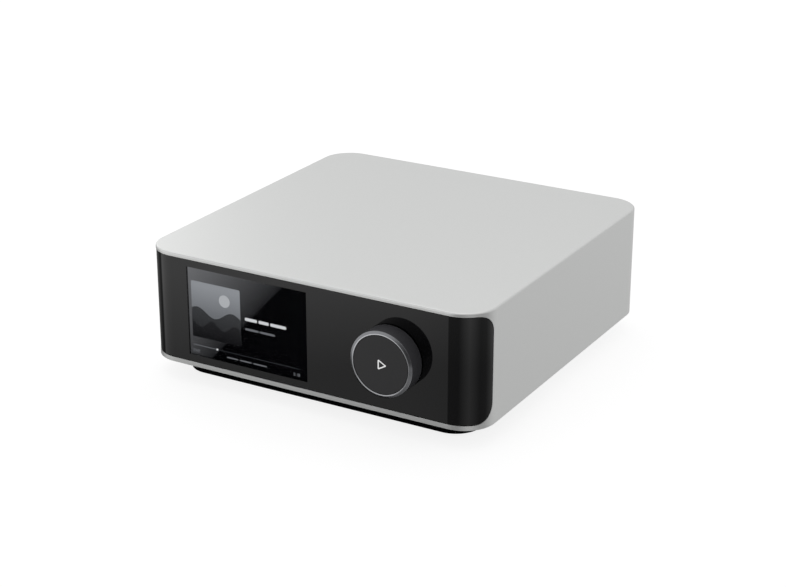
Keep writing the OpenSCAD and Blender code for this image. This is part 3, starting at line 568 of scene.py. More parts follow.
def oblong(low: Point, high: Point) -> list[Point]:
    """Return the corners of a rectangle, from the lower left one to the right and round."""
    return [low, (high[0], low[1]), high, (low[0], high[1])]


def circle(middle: Point, radius: float, steps: int) -> list[Point]:
    """Draw a circle.

    Args:
        middle: place of its middle.
        radius: its radius.
        steps: points of the outline.

    Returns:
        Points of the outline, in order.
    """
    return [(middle[0] + radius * math.cos(math.tau * i / steps),
             middle[1] + radius * math.sin(math.tau * i / steps)) for i in range(steps)]


@dataclass
class Plates:
    """Thin plates drawn in X and Z, gathered in one mesh.

    Attributes:
        vertices: points gathered so far, in millimetres.
        faces: faces gathered so far.
        kinds: finish of each face.
    """

    vertices: list[tuple[float, float, float]] = field(default_factory=list)
    faces: list[tuple[int, ...]] = field(default_factory=list)
    kinds: list[int] = field(default_factory=list)

    def add(self, outline: Sequence[Point], near: float, far: float, kind: int) -> None:
        """Add a plate.

        Args:
            outline: points in X and Z, in order round the plate.
            near: place in Y of its front.
            far: place in Y of its back.
            kind: number of its finish.
        """
        first = len(self.vertices)
        count = len(outline)
        self.vertices += [(x, near, z) for x, z in outline] + [(x, far, z) for x, z in outline]
        self.faces.append(tuple(range(first, first + count)))
        self.faces.append(tuple(range(first + 2 * count - 1, first + count - 1, -1)))
        for i in range(count):
            after = (i + 1) % count
            self.faces.append((first + i, first + count + i, first + count + after, first + after))
        self.kinds += [kind] * (count + 2)

    def make(self, name: str, finishes: Sequence[Finish]) -> bpy.types.Object:
        """Make one object of the gathered plates, with flat faces.

        Args:
            name: name of the piece.
            finishes: finishes that the plates number.

        Returns:
            The new object.
        """
        piece = new_object(name, self.vertices, self.faces, finishes, self.kinds)
        piece.data.shade_flat()
        return piece


def islands(name: str) -> list[tuple[Vector, Vector]]:
    """Find the separate solids of a node.

    Args:
        name: name of the node, whose mesh is only read.

    Returns:
        Lowest and highest corner of each solid's box, in millimetres.
    """
    work = bmesh.new()
    work.from_mesh(frame["nodes"][name].data)
    bmesh.ops.remove_doubles(work, verts=work.verts, dist=MICRON)
    left = set(work.verts)
    boxes = []
    while left:
        reached = {left.pop()}
        edge = list(reached)
        while edge:
            near = {e.other_vert(v) for v in edge for e in v.link_edges} - reached
            reached |= near
            edge = list(near)
        left -= reached
        points = [v.co / MM for v in reached]
        boxes.append((Vector(map(min, zip(*points))), Vector(map(max, zip(*points)))))
    work.free()
    return sorted(boxes, key=lambda box: tuple(box[0]))


def carve(piece: bpy.types.Object, cutter: bpy.types.Object) -> None:
    """Cut one piece's mesh with another.

    Args:
        piece: mesh object to cut.
        cutter: mesh object to cut it with, which is then removed.
    """
    cut = piece.modifiers.new("cut", "BOOLEAN")
    cut.operation = "DIFFERENCE"
    cut.solver = "EXACT"
    cut.object = cutter
    graph = bpy.context.evaluated_depsgraph_get()
    mesh = bpy.data.meshes.new_from_object(piece.evaluated_get(graph))
    piece.modifiers.remove(cut)
    piece.data = mesh
    bpy.data.objects.remove(cutter)


class Assembly:
    """Sub-assembly of the streamer."""

    def build(self) -> list[bpy.types.Object]:
        """Return the modelled pieces, none where the solids will do."""
        return []

    def dress(self) -> None:
        """Finish the solids, where there are some."""


@dataclass
class Casing(Assembly):
    """Shell, wrapped panel, plinth and rear panel.

    Attributes:
        shell_edge: broken edge of the shell.
        panel_edge: broken edge of the front panel.
        glass_edge: broken edge of the cover glass.
        plain_edge: broken edge of the other pieces.
    """

    shell_edge: float = 0.25
    panel_edge: float = 0.45
    glass_edge: float = 0.02
    plain_edge: float = 0.30

    def dress(self) -> None:
        """Finish the solids of the casing."""
        dress_node("shell", self.shell_edge)
        dress_node("front_panel", self.panel_edge)
        dress_node("touch_glass", self.glass_edge)
        dress_node("plinth", self.plain_edge, ETCHED_BLACK)
        for name in ("rear_panel", "sole_pad"):
            dress_node(name, self.plain_edge)


class Tone(IntEnum):
    """Shades of the picture, in the order of its material slots."""

    BLACK = 0
    # Paler field of display light: a painted reflection in the cover glass.
    PAINTED_SHEEN = 1
    SKY = 2
    FAR_HILLS = 3
    NEAR_HILLS = 4
    DISC = 5
    WHITE = 6
    GREY = 7
    DIM = 8


@dataclass(frozen=True)
class Bars:
    """Row of plain bars.

    Attributes:
        foot: height of the bars' lower edge.
        tall: height of a bar.
        tone: shade of the bars.
        spans: left and right end of each bar.
    """

    foot: float
    tall: float
    tone: Tone
    spans: tuple[Point, ...]


@dataclass
class Display(Assembly):
    """Picture on the display: a landscape tile, rows of bars, a progress line and plain numbers.

    Places in the picture are in millimetres from the screen's lower left corner.

    Attributes:
        depth: distance of the lowest layer's back from the shell's front face.
        layer: step from one layer to the next.
        plate: share of that step that a plate fills.
        slant: places where the edge of the painted reflection meets the foot and the head of the screen.
        tile_low: lower left corner of the tile.
        tile_high: upper right corner of the tile.
        tile_round: radius of the tile's corners.
        disc_at: place of the disc's middle in the tile, in widths of the tile.
        disc_r: radius of the disc.
        bar_round: radius of the bars' corners.
        line_foot: height of the progress line's lower edge.
        line_tall: width of the progress line.
        line_ends: left and right end of the progress line.
        played: place that the progress has reached.
        dot_r: radius of the dot at that place.
        digit_tall: height of a digit.
        digit_wide: width of a digit, in heights.
        digit_step: distance between digits, in widths.
        digit_line: width of a digit's bars.
        corner: lower left corner of the screen in X and Z.
        size: width and height of the screen.
    """

    depth: float = 1.48
    layer: float = 0.03
    plate: float = 0.6
    slant: Point = (13.8, 59.3)
    tile_low: Point = (1.8, 10.35)
    tile_high: Point = (32.5, 41.75)
    tile_round: float = 0.8
    disc_at: Point = (0.68, 0.76)
    disc_r: float = 3.4
    bar_round: float = 0.5
    line_foot: float = 5.35
    line_tall: float = 0.4
    line_ends: Point = (1.8, 68.8)
    played: float = 17.2
    dot_r: float = 0.6
    digit_tall: float = 1.7
    digit_wide: float = 0.55
    digit_step: float = 1.55
    digit_line: float = 0.28
    corner: Point = field(init=False)
    size: Point = field(init=False)

    # Levels of the layers, counted from the display.
    GROUND, PAPER, FLAT, DISC, MIDDLE, TOP = 0, 1, 2, 2.6, 3, 3.6
    # Level, shade, mean height, swing, waves and shift of each range of hills, in widths of the tile.
    HILLS = (
        (MIDDLE, Tone.FAR_HILLS, 0.48, 0.08, 1.4, 0.6),
        (TOP, Tone.NEAR_HILLS, 0.27, 0.07, 2.1, 2.4),
    )
    # Bright, grey and dim row beside the tile, and the row at the foot.
    ROWS = (
        Bars(25.75, 1.7, Tone.WHITE, ((35.3, 42.8), (43.8, 50.0), (51.0, 60.6))),
        Bars(20.45, 1.2, Tone.GREY, ((35.3, 43.6), (44.4, 53.7))),
        Bars(31.25, 1.2, Tone.DIM, ((36.0, 39.8),)),
        Bars(2.15, 0.7, Tone.GREY, ((23.2, 30.2), (31.4, 38.6), (39.8, 48.2))),
    )
    # Plain numbers and the lower left corner of each.
    NUMBERS = (("042", (1.8, 1.35)), ("318", (64.6, 1.35)))
    # Bars of each digit: from a at the top clockwise to f, and g across the middle.
    SEGMENTS = {"0": "abcdef", "1": "bc", "2": "abged", "3": "abgcd", "4": "fgbc", "5": "afgcd",
                "6": "afgedc", "7": "abc", "8": "abcdefg", "9": "abcdfg"}
    # Light of the display's pixels, one finish for each shade.
    TONES = (
        Lit("Screen black", "#020203"),
        # Painted reflection in the cover glass, drawn as display light with a slanting fade.
        Lit("Screen wallpaper", "#6E6E70", fade="#18181A", low_mm=54.0, high_mm=98.0, slant=47.6),
        Lit("Tile sky", "#929498", fade="#707276", low_mm=42.0, high_mm=57.0),
        Lit("Tile far hills", "#3E3F41", fade="#262628", low_mm=30.0, high_mm=46.0),
        Lit("Tile near hills", "#262628", fade="#121214", low_mm=28.0, high_mm=39.0),
        Lit("Tile disc", "#B4B5B8"),
        Lit("Screen white", "#D8D8DA"),
        Lit("Screen grey", "#6C6D71"),
        Lit("Screen dim", "#303134"),
    )

    def __post_init__(self) -> None:
        """Take the screen's place and size from the cover glass."""
        low, high = box_mm("touch_glass")
        self.corner = (round(low.x, 2), round(low.z, 2))
        self.size = (round(high.x - low.x, 2), round(high.z - low.z, 2))

    def build(self) -> list[bpy.types.Object]:
        """Lay the picture's plates on the display.

        Returns:
            The picture, which is one piece.
        """
        plates = Plates()
        self.painted_sheen(plates)
        self.tile(plates)
        for row in self.ROWS:
            for left, right in row.spans:
                outline = rounded((left, row.foot), (right, row.foot + row.tall), self.bar_round)
                self.put(plates, outline, self.MIDDLE, row.tone)
        self.progress(plates)
        for digits, place in self.NUMBERS:
            self.number(plates, digits, place)
        return [seat(plates.make("screen_picture", self.TONES), "case", "display")]

    def put(self, plates: Plates, outline: Sequence[Point], level: float, tone: Tone) -> None:
        """Add one plate to the picture.

        Args:
            plates: plates to add to.
            outline: points of the plate.
            level: level of its layer.
            tone: shade of the plate.
        """
        near = FRONT_Y + self.depth - self.layer * (level + 1)
        placed = [(self.corner[0] + x, self.corner[1] + z) for x, z in outline]
        plates.add(placed, near, near + self.layer * self.plate, tone)

    def painted_sheen(self, plates: Plates) -> None:
        """Add the dark ground and the paler field above its slanting edge, which is a painted reflection in
        the cover glass, drawn as light of the display.

        Args:
            plates: plates to add to.
        """
        tall = self.size[1]
        foot, head = self.slant
        self.put(plates, oblong((0, 0), self.size), self.GROUND, Tone.BLACK)
        # Painted reflection: the paler field above the slanting edge.
        self.put(plates, [(0, 0), (foot, 0), (head, tall), (0, tall)], self.PAPER, Tone.PAINTED_SHEEN)

    def tile(self, plates: Plates, steps: int = 40) -> None:
        """Add the cover tile: sky, a disc and two ranges of hills.

        Args:
            plates: plates to add to.
            steps: points of the disc, and stretches of a crest.
        """
        low, high = self.tile_low, self.tile_high
        width = high[0] - low[0]
        self.put(plates, rounded(low, high, self.tile_round), self.FLAT, Tone.SKY)
        middle = (low[0] + self.disc_at[0] * width, low[1] + self.disc_at[1] * width)
        self.put(plates, circle(middle, self.disc_r, steps), self.DISC, Tone.DISC)
        for level, tone, base, swing, waves, shift in self.HILLS:
            crest = [(low[0] + width * i / steps,
                      low[1] + width * (base + swing * math.sin(waves * math.tau * i / steps + shift)))
                     for i in range(steps + 1)]
            self.put(plates, [low, (high[0], low[1]), *reversed(crest)], level, tone)

    def progress(self, plates: Plates, steps: int = 24) -> None:
        """Add the progress line, its played part and the dot at the end of that.

        Args:
            plates: plates to add to.
            steps: points of the dot.
        """
        left, right = self.line_ends
        foot, head = self.line_foot, self.line_foot + self.line_tall
        radius = self.line_tall / 2
        self.put(plates, rounded((left, foot), (right, head), radius), self.FLAT, Tone.DIM)
        self.put(plates, rounded((left, foot), (self.played, head), radius), self.MIDDLE, Tone.GREY)
        dot = circle((self.played, (foot + head) / 2), self.dot_r, steps)
        self.put(plates, dot, self.TOP, Tone.WHITE)

    def number(self, plates: Plates, digits: str, place: Point) -> None:
        """Add a plain number of seven-bar digits.

        Args:
            plates: plates to add to.
            digits: digits to show.
            place: lower left corner of the first digit.
        """
        tall, line = self.digit_tall, self.digit_line
        wide, half = tall * self.digit_wide, tall / 2
        for order, digit in enumerate(digits):
            x, z = place[0] + order * wide * self.digit_step, place[1]
            bars = {"a": ((x, z + tall - line), (x + wide, z + tall)),
                    "b": ((x + wide - line, z + half), (x + wide, z + tall)),
                    "c": ((x + wide - line, z), (x + wide, z + half)),
                    "d": ((x, z), (x + wide, z + line)),
                    "e": ((x, z), (x + line, z + half)),
                    "f": ((x, z + half), (x + line, z + tall)),
                    "g": ((x, z + half - line / 2), (x + wide, z + half + line / 2))}
            for name in self.SEGMENTS[digit]:
                self.put(plates, oblong(*bars[name]), self.MIDDLE, Tone.GREY)


@dataclass
class Knob(Assembly):
    """Turning ring with its bevel and bright rim, round the centre button.

    Distances along the axis are counted from the shell's front face, towards the front.

    Attributes:
        wall: thickness of the ring's wall.
        back: distance of the ring's back.
        bevel_w: width of the bevel.
        bevel_h: depth of the bevel.
        back_edge: broken edge at the back of the grip.
        bore_edge: broken edge at the front of the bore.
        web: distances of the back and the front of the web between ring and hub.
        hub_r: radius of the hub.
        hub_bore: radius of the hub's bore.
        steps: points round the ring.
        mark_r: distance of the mark's corners from the axis, before they are rounded.
        mark_line: width of the mark's line.
        mark_round: radius of the mark's outer corners.
        mark_inner: radius of the mark's inner corners.
        ring_edge: softened edge of the ring.
        mark_edge: softened edge of the mark.
        button_edge: broken edge of the centre button.
        radius: outer radius of the ring.
        bore: radius of the ring's bore.
        front: distance of the ring's front.
        hub_back: distance of the hub's rear end, which lies inside the shell.
    """

    wall: float = 2.0
    back: float = 0.4
    bevel_w: float = 1.5
    bevel_h: float = 0.7
    back_edge: float = 0.2
    bore_edge: float = 0.12
    web: Point = (3.95, 5.95)
    hub_r: float = 11.0
    hub_bore: float = 9.08
    steps: int = 180
    mark_r: float = 3.3
    mark_line: float = 0.52
    mark_round: float = 0.5
    mark_inner: float = 0.1
    ring_edge: float = 0.04
    mark_edge: float = 0.05
    button_edge: float = 0.12
    radius: float = field(init=False)
    bore: float = field(init=False)
    front: float = field(init=False)
    hub_back: float = field(init=False)

    # Points that round the bevel's outer and inner edge: how far outside and before the sharp edge.
    OUTER_EDGE = ((0.0, -0.15), (-0.05, -0.03), (-0.17, 0.06))
    INNER_EDGE = ((0.1, -0.04), (0.0, 0.0))

    def __post_init__(self) -> None:
        """Take the ring's size and place from its solid."""
        low, high = box_mm("knob_ring")
        self.radius = round((high.x - low.x) / 2, 2)
        self.bore = round(self.radius - self.wall, 2)
        self.front = round(FRONT_Y - low.y, 2)
        self.hub_back = round(FRONT_Y - high.y, 2)

    def build(self) -> list[bpy.types.Object]:
        """Make the ring and the mark on the centre button."""
        return [self.ring(), self.mark()]

    def ring(self) -> bpy.types.Object:
        """Turn the ring, with its web and hub.

        Returns:
            The ring.
        """
        dyed, bevel, bright, grip = range(4)
        crown = self.front - self.bevel_h
        land = self.radius - self.bevel_w
        outer = [(self.radius + out, crown + along) for out, along in self.OUTER_EDGE]
        inner = [(land + out, self.front + along) for out, along in self.INNER_EDGE]
        web_back, web_front = self.web
        profile = [
            (self.bore, self.back, dyed),
            (self.radius - self.back_edge, self.back, grip),
            (self.radius, self.back + self.back_edge, grip),
            (*outer[0], grip), (*outer[1], bevel), (*outer[2], bevel),
            (*inner[0], bright), (*inner[1], bright),
            (self.bore + self.bore_edge, self.front, bright),
            (self.bore, self.front - self.bore_edge, dyed),
            (self.bore, web_front, dyed), (self.hub_bore, web_front, dyed),
            (self.hub_bore, self.hub_back, dyed), (self.hub_r, self.hub_back, dyed),
            (self.hub_r, web_back, dyed), (self.bore, web_back, dyed),
        ]
        ring = lathe("volume_ring", profile, KNOB_AXIS, (DYED, BEVEL_CUT, BRIGHT_CUT, GRIP), FRONT_Y,
                     self.steps, sign=-1)
        soften(ring, self.ring_edge)
        return seat(ring, "knob", "black_anodised", "knob_ring")

    def mark(self) -> bpy.types.Object:
        """Form the outlined triangle of the centre button, with the round corners of its moulding.

        Returns:
            The mark.
        """
        low, high = box_mm("play_glyph")
        outer = self.triangle(self.mark_r, self.mark_round)
        inner = self.triangle(self.mark_r - 2 * self.mark_line, self.mark_inner)
        loops = ((outer, low.y), (inner, low.y), (inner, high.y), (outer, high.y))
        vertices = [(x, y, z) for outline, y in loops for x, z in outline]
        mark = new_object("play_mark", vertices, loop_faces(len(loops), len(outer)), (MARK_WHITE,))
        soften(mark, self.mark_edge)
        return seat(mark, "play_button", "mark_white", "play_glyph")

    def triangle(self, reach: float, radius: float, steps: int = 8) -> list[Point]:
        """Draw a triangle round the knob's axis that points to the right.

        Args:
            reach: distance of the sharp corners from the axis.
            radius: radius of the corners, less than half the reach.
            steps: points of each corner.

        Returns:
            Points of the outline, in order.
        """
        outline = []
        for corner in range(3):
            way = math.tau * corner / 3
            x, z = (reach - 2 * radius) * math.cos(way), (reach - 2 * radius) * math.sin(way)
            for step in range(steps):
                angle = way + math.tau / 3 * (step / (steps - 1) - 0.5)
                outline.append((KNOB_AXIS[0] + x + radius * math.cos(angle),
                                KNOB_AXIS[1] + z + radius * math.sin(angle)))
        return outline

    def dress(self) -> None:
        """Finish the centre button."""
        dress_node("play_button", self.button_edge)


@dataclass
class Contacts:
    """Gilded contacts in the network, data and video sockets.

    Attributes:
        wires: number of sprung wires in the network socket.
        wire_pitch: distance between wires.
        wire_w: width of a wire.
        wire_t: thickness of a wire.
        wire_root: distance of the wires' root under the top of the socket's insert.
        wire_in: distance of the wires from the insert's face.
        wire_run: length of a wire along the socket.
        wire_sag: depth of a wire's bow.
        wire_plates: number of short plates that make up a wire.
        wire_plate: length of such a plate.
        pads: number of strips on a tongue.
        pad_span: width that the strips of a tongue share.
        pad_fill: half width of a strip, as a share of its pitch.
        pad_t: thickness of a strip.
        pad_drop: distance of the strips' lower face under the tongue's middle.
        pad_ends: distances of a strip's rear and front end from the tongue's tip.
    """

    wires: int = 8
    wire_pitch: float = 1.02
    wire_w: float = 0.4
    wire_t: float = 0.3
    wire_root: float = 2.35
    wire_in: float = 2.2
    wire_run: float = 8.6
    wire_sag: float = 2.6
    wire_plates: int = 10
    wire_plate: float = 1.0
    pads: int = 10
    pad_span: float = 9.0
    pad_fill: float = 0.3
    pad_t: float = 0.14
    pad_drop: float = 1.0
    pad_ends: Point = (7.0, 0.8)

    # Place in half a wave at which a wire's bow begins, and the part of it that the bow takes.
    BOW = (0.15, 0.6)

    def build(self) -> bpy.types.Object:
        """Lay the contacts in their sockets.

        Returns:
            The contacts, which are one piece.
        """
        plates = Plates()
        low, high = box_mm("lan_insert")
        middle = (low.x + high.x) / 2
        for order in range(self.wires):
            x = middle + (order - (self.wires - 1) / 2) * self.wire_pitch
            self.wire(plates, x, high.y - self.wire_in, high.z - self.wire_root)
        for low, high in islands("port_tongues"):
            self.strips(plates, low, high)
        return seat(plates.make("socket_contacts", (GOLD,)), "case", "gold_plate")

    def wire(self, plates: Plates, x: float, front: float, root: float) -> None:
        """Add one sprung wire of the network socket, as short plates on a slope.

        Args:
            plates: plates to add to.
            x: sideways place of the wire.
            front: place in Y of its front end.
            root: height that it bows down from.
        """
        half = self.wire_w / 2
        begin, part = self.BOW
        for order in range(self.wire_plates):
            share = order / (self.wire_plates - 1)
            y = front - self.wire_run * share
            foot = root - self.wire_sag * math.sin(math.pi * (begin + part * share))
            outline = oblong((x - half, foot), (x + half, foot + self.wire_t))
            plates.add(outline, y - self.wire_plate, y, 0)

    def strips(self, plates: Plates, low: Vector, high: Vector) -> None:
        """Add the contact strips on the lower face of a socket's tongue.

        Args:
            plates: plates to add to.
            low: lowest corner of the tongue's box.
            high: highest corner of the tongue's box.
        """
        middle = (low.x + high.x) / 2
        pitch = self.pad_span / self.pads
        half = self.pad_fill * pitch
        foot = (low.z + high.z) / 2 - self.pad_drop
        rear, front = self.pad_ends
        for order in range(self.pads):
            x = middle + (order - (self.pads - 1) / 2) * pitch
            outline = oblong((x - half, foot), (x + half, foot + self.pad_t))
            plates.add(outline, high.y - rear, high.y - front, 0)


@dataclass
class Rear(Assembly):
    """Rear sockets, screws and the ground post's thumb nut.

    Attributes:
        head_r: radius of a screw's head.
        head_h: height of a screw's head.
        shank_r: radius of a screw's shank.
        core_r: radius left open round a screw's axis, too small to be seen.
        slot_w: width of a recess's arms.
        slot_l: length of a recess's arms, tip to tip.
        slot_foot: height of a recess's floor above the foot of the head.
        overshoot: reach of a cut past the head.
        screw_steps: points round a screw.
        nut_bore: radius of the nut's bore.
        nut_collar: radius of the nut's collar.
        nut_grip: radius of the nut's grip, over the ridges.
        nut_neck: share of the nut's height that the collar takes.
        nut_foot: broken edge at the collar's foot.
        nut_slope: height of the slope from the collar to the grip.
        nut_sink: width and depth of the countersink at the bore's end.
        nut_teeth: number of ridges round the grip.
        nut_tooth: height of a ridge.
        tooth_steps: points of a ridge.
        nut_edge: softened edge of the nut.
        edge: broken edge of the other pieces.
        least_reach: how far these reach at least into the rear panel, from its inner face.
    """

    head_r: float = 1.9
    head_h: float = 1.2
    shank_r: float = 1.0
    core_r: float = 0.02
    slot_w: float = 0.45
    slot_l: float = 2.1
    slot_foot: float = 0.35
    overshoot: float = 1.0
    screw_steps: int = 48
    nut_bore: float = 2.08
    nut_collar: float = 4.3
    nut_grip: float = 4.8
    nut_neck: float = 0.25
    nut_foot: float = 0.4
    nut_slope: float = 0.2
    nut_sink: Point = (0.22, 0.25)
    nut_teeth: int = 36
    nut_tooth: float = 0.22
    tooth_steps: int = 6
    nut_edge: float = 0.05
    edge: float = 0.12
    least_reach: float = 0.5

    # Points of a screw's head from the foot of its rim inwards, in radii and heights of the head.
    DOME = ((1.0, 0.0), (1.0, 0.5), (0.93, 0.74), (0.72, 0.92), (0.4, 0.99))
    # Points of the nut's crown from its grip inwards: away from the grip, and from the nut's end.
    CROWN = ((0.0, 0.8), (0.3, 0.5), (0.5, 0.3), (0.9, 0.0))

    def build(self) -> list[bpy.types.Object]:
        """Make the screws, the nut and the contacts."""
        return [*self.screws(), self.nut(), Contacts().build()]

    def screws(self) -> list[bpy.types.Object]:
        """Turn a domed screw with a cross recess for each rear screw.

        Returns:
            The screws.
        """
        finish = FINISHES["black_screw"]
        arm, tip = self.slot_w / 2, self.slot_l / 2
        cross = [(arm, arm), (arm, tip), (-arm, tip), (-arm, arm), (-tip, arm), (-tip, -arm),
                 (-arm, -arm), (-arm, -tip), (arm, -tip), (arm, -arm), (tip, -arm), (tip, arm)]
        screws = []
        for order, (low, high) in enumerate(islands("rear_screws")):
            axis = ((low.x + high.x) / 2, (low.z + high.z) / 2)
            foot = high.y - self.head_h
            end = low.y - foot
            profile = [(self.core_r, self.head_h, 0), (self.core_r, end, 0), (self.shank_r, end, 0),
                       (self.shank_r, 0.0, 0)]
            profile += [(out * self.head_r, up * self.head_h, 0) for out, up in self.DOME]
            screw = lathe(f"rear_screw_{order}", profile, axis, (finish,), foot, self.screw_steps)
            cutter = Plates()
            cutter.add([(axis[0] + x, axis[1] + z) for x, z in cross], foot + self.slot_foot,
                       high.y + self.overshoot, 0)
            carve(screw, cutter.make("recess", (finish,)))
            screws.append(seat(screw, "case", "black_screw", *(("rear_screws",) if order == 0 else ())))
        return screws

    def nut(self) -> bpy.types.Object:
        """Turn the thumb nut, with ridges round its grip.

        Returns:
            The nut.
        """
        low, high = box_mm("ground_nut")
        tall = high.y - low.y
        neck = self.nut_neck * tall
        bore, collar, grip = self.nut_bore, self.nut_collar, self.nut_grip
        sink_w, sink_h = self.nut_sink
        outline = [(bore, 0.0), (collar - self.nut_foot, 0.0), (collar, self.nut_foot), (collar, neck),
                   (grip, neck + self.nut_slope)]
        outline += [(grip - inward, tall - back) for inward, back in self.CROWN]
        outline += [(bore + sink_w, tall), (bore, tall - sink_h)]
        nut = lathe("thumb_nut", [(out, along, 0) for out, along in outline], GROUND_AXIS, (GOLD,), low.y,
                    self.nut_teeth * self.tooth_steps, teeth=self.nut_teeth, tooth_mm=self.nut_tooth)
        soften(nut, self.nut_edge)
        return seat(nut, "ground_nut", "gold_plate", "ground_nut")

    def dress(self) -> None:
        """Finish the solids that reach into the rear panel, and the pins in the mains inlet."""
        plane = box_mm("rear_panel")[0].y + self.least_reach
        for name in undressed():
            if name == "mains_pins" or box_mm(name)[1].y > plane:
                dress_node(name, self.edge)


@dataclass
class Interior(Assembly):
    """Pieces inside the casing, and the screws under it.

    Attributes:
        edge: broken edge of the pieces.
    """

    edge: float = 0.1

    def dress(self) -> None:
        """Finish every solid that is not dressed yet."""
        for name in undressed():
            dress_node(name, self.edge)


@dataclass(frozen=True)
class Softbox:
    """Square softbox that faces the object.

    Attributes:
        name: name of the light.
        place: middle of the box in metres.
        size: side of the box in metres.
        watts: power of the light.
    """

    name: str
    place: tuple[float, float, float]
    size: float
    watts: float

    def hang(self) -> None:
        """Add the light to the scene."""
        lamp = bpy.data.lights.new(self.name, "AREA")
        lamp.shape = "SQUARE"
        lamp.size = self.size
        lamp.energy = self.watts
        box = bpy.data.objects.new(self.name, lamp)
        box.location = self.place
        box.rotation_euler = (-box.location).to_track_quat("-Z", "Y").to_euler()
        bpy.context.scene.collection.objects.link(box)


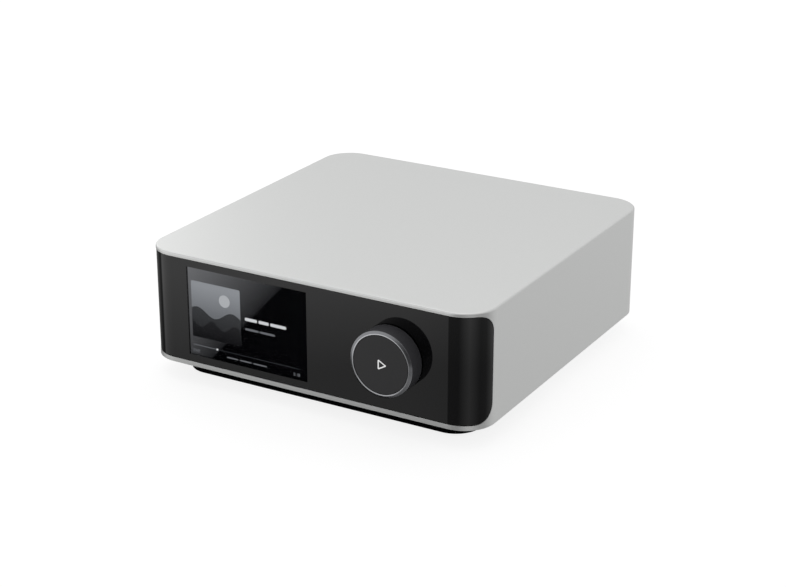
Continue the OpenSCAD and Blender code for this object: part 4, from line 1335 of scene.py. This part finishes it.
@dataclass
class Studio:
    """Pale floor, soft light and the camera.

    Attributes:
        floor_size: side of the floor in metres.
        floor_glow: part of the floor's white that the object's shadow leaves.
        shade_reach: reach of the dark sheet of painted shade before the shell, in millimetres.
        shade_corner: radius of the painted shade's corners, in millimetres.
        shade_lift: height of the painted shade above the floor, in millimetres.
        eye: place of the camera in metres.
        tilt: tilt of the camera from straight down, in degrees.
        turn: turn of the camera round Z, in degrees.
        lens: focal length in millimetres.
        sensor: width of the camera's sensor in millimetres.
        near: least distance that the camera sees, in metres.
    """

    floor_size: float = 12.0
    floor_glow: float = 0.84
    shade_reach: float = 21.0
    shade_corner: float = 38.0
    shade_lift: float = 0.2
    eye: tuple[float, float, float] = (0.474741, -0.828183, 0.410909)
    tilt: float = 68.36
    turn: float = 30.101
    lens: float = 85.47
    sensor: float = 36.0
    near: float = 0.01

    # A large box overhead and a small one low at the rear left.
    SOFTBOXES = (Softbox("key_softbox", (-0.30, 0.30, 1.25), 1.2, 2.2),
                 Softbox("side_softbox", (-0.56, 0.27, 0.30), 0.36, 0.24))
    # Pale walls and dark flags round the table, by heading: from straight left, through the front
    # and the right.
    WALLS = ((0.0, "#5A5A5A"), (0.015, "#626262"), (0.034, "#F0F0F0"), (0.148, "#F8F8F8"), (0.168, "#F8F8F8"),
             (0.190, "#969696"), (0.275, "#969696"), (0.33, "#DCDCDC"), (0.375, "#FFFFFF"), (0.42, "#DCDCDC"),
             (0.475, "#A4A4A4"), (0.54, "#A4A4A4"), (0.59, "#D8D8D8"), (0.63, "#F2F2F2"), (0.78, "#EAEAEA"),
             (0.90, "#8A8A8A"), (1.0, "#5A5A5A"))
    # Share of the walls' light by height, from straight down to the horizon: the white table, then
    # the walls' foot.
    FALL = ((0.0, "#FFFFFF"), (0.40, "#F4F4F4"), (0.56, "#B8B8B8"), (0.595, "#B8B8B8"), (0.645, "#FFFFFF"),
            (1.0, "#F4F4F4"))
    # Screens that stand above the walls, by heading, and the tent over them, by height.
    SCREENS = ((0.0, "#D0D0D0"), (0.04, "#FFFFFF"), (0.19, "#FFFFFF"), (0.235, "#808080"), (0.28, "#585858"),
               (0.40, "#6A6A6A"), (0.50, "#A0A0A0"), (0.62, "#D4D4D4"), (0.80, "#D2D2D2"), (1.0, "#D0D0D0"))
    TENT = ((0.30, "#F0F0F0"), (0.46, "#FFFFFF"), (0.62, "#CCCCCC"), (1.0, "#D8D8D8"))
    # Heights, as parts of one, over which the screens and the tent take over from what is below.
    SCREEN_FOOT = (-0.31, -0.25)
    TENT_FOOT = (0.30, 0.44)

    def build(self) -> None:
        """Make the floor, the lights, the surroundings and the camera."""
        self.floor()
        self.painted_shade()
        self.surroundings()
        for box in self.SOFTBOXES:
            box.hang()
        self.camera()
        bpy.context.scene.view_settings.view_transform = "Standard"

    def floor(self) -> None:
        """Lay the floor, which the camera sees nearly white with a soft shadow on it."""
        half = self.floor_size / 2 / MM
        corners = [(-half, -half, 0), (half, -half, 0), (half, half, 0), (-half, half, 0)]
        floor = new_object("studio_floor", corners, [range(len(corners))], ())
        material = bpy.data.materials.new("Pale paper")
        material.use_nodes = True
        tree = material.node_tree
        tree.nodes.clear()
        seen = add_node(tree, "LightPath").outputs["Is Camera Ray"]
        paper = add_node(tree, "BsdfDiffuse", {"Color": linear("#EDEDED")})
        glow = add_node(tree, "Emission", {"Color": linear("#FFFFFF"), "Strength": self.floor_glow})
        shade = add_node(tree, "BsdfDiffuse", {"Color": linear("#8A8A8A")})
        white = add_node(tree, "AddShader", links={0: glow.outputs[0], 1: shade.outputs[0]})
        blend = add_node(tree, "MixShader", links={"Fac": seen, 1: paper.outputs[0], 2: white.outputs[0]})
        add_node(tree, "OutputMaterial", links={"Surface": blend.outputs[0]})
        floor.data.materials.append(material)
        floor.visible_glossy = False

    def painted_shade(self) -> None:
        """Lay a dark sheet of painted shade on the floor before the shell, seen in reflections alone: it
        stands for the floor's shadow under the front lip.
        """
        low, high = box_mm("shell")
        reach = self.shade_reach
        outline = rounded((low.x - reach, low.y - reach), (high.x, 0.0), self.shade_corner, steps=12)
        points = [(x, y, self.shade_lift) for x, y in outline]
        # Painted shade: a dark sheet on the floor that only reflections see.
        painted_shade = new_object("studio_painted_shade", points, [range(len(points))], (PAINTED_SHADE,))
        for kind in ("camera", "diffuse", "transmission", "shadow"):
            setattr(painted_shade, f"visible_{kind}", False)

    def surroundings(self) -> None:
        """Surround the object with walls, screens and a tent, where the camera itself sees plain white."""
        world = bpy.data.worlds.new("Studio tent")
        world.use_nodes = True
        bpy.context.scene.world = world
        tree = world.node_tree
        tree.nodes.clear()
        way = add_node(tree, "TexCoord").outputs["Generated"]
        height = add_node(tree, "SeparateXYZ", links={"Vector": way}).outputs["Z"]
        heading = add_node(tree, "TexGradient", {"gradient_type": "RADIAL"}, {"Vector": way}).outputs["Fac"]
        depth = add_node(tree, "MapRange", {"From Min": -1.0, "From Max": 0.0},
                         {"Value": height}).outputs["Result"]
        walls, screens, fall, tent = (
            add_node(tree, "ValToRGB", links={"Fac": factor},
                     stops=[(place, linear(grey)) for place, grey in greys]).outputs["Color"]
            for factor, greys in ((heading, self.WALLS), (heading, self.SCREENS), (depth, self.FALL),
                                  (height, self.TENT)))
        light = add_node(tree, "Background", links={"Color": walls, "Strength": fall})
        for colour, (low, high) in ((screens, self.SCREEN_FOOT), (tent, self.TENT_FOOT)):
            share = add_node(tree, "MapRange", {"From Min": low, "From Max": high}, {"Value": height})
            above = add_node(tree, "Background", {"Strength": 1.0}, {"Color": colour})
            light = add_node(tree, "MixShader", links={"Fac": share.outputs["Result"], 1: light.outputs[0],
                                                       2: above.outputs[0]})
        seen = add_node(tree, "LightPath").outputs["Is Camera Ray"]
        plain = add_node(tree, "Background", {"Color": linear("#FFFFFF"), "Strength": 1.0})
        light = add_node(tree, "MixShader", links={"Fac": seen, 1: light.outputs[0], 2: plain.outputs[0]})
        add_node(tree, "OutputWorld", links={"Surface": light.outputs[0]})

    def camera(self) -> None:
        """Set the camera where the photograph was taken from."""
        data = bpy.data.cameras.new("camera")
        data.lens = self.lens
        data.sensor_width = self.sensor
        data.clip_start = self.near
        camera = bpy.data.objects.new("camera", data)
        camera.location = self.eye
        camera.rotation_euler = (math.radians(self.tilt), 0.0, math.radians(self.turn))
        bpy.context.scene.collection.objects.link(camera)
        bpy.context.scene.camera = camera


def main() -> None:
    """Add the modelled pieces and report them, dress the solids and set the stage."""
    logging.basicConfig(level=logging.INFO, format="%(message)s")
    for assembly in (Casing(), Display(), Knob(), Rear(), Interior()):
        for piece in assembly.build():
            LOG.info("%s is in place", piece.name)
        assembly.dress()
    Studio().build()


if __name__ == "__main__":
    main()
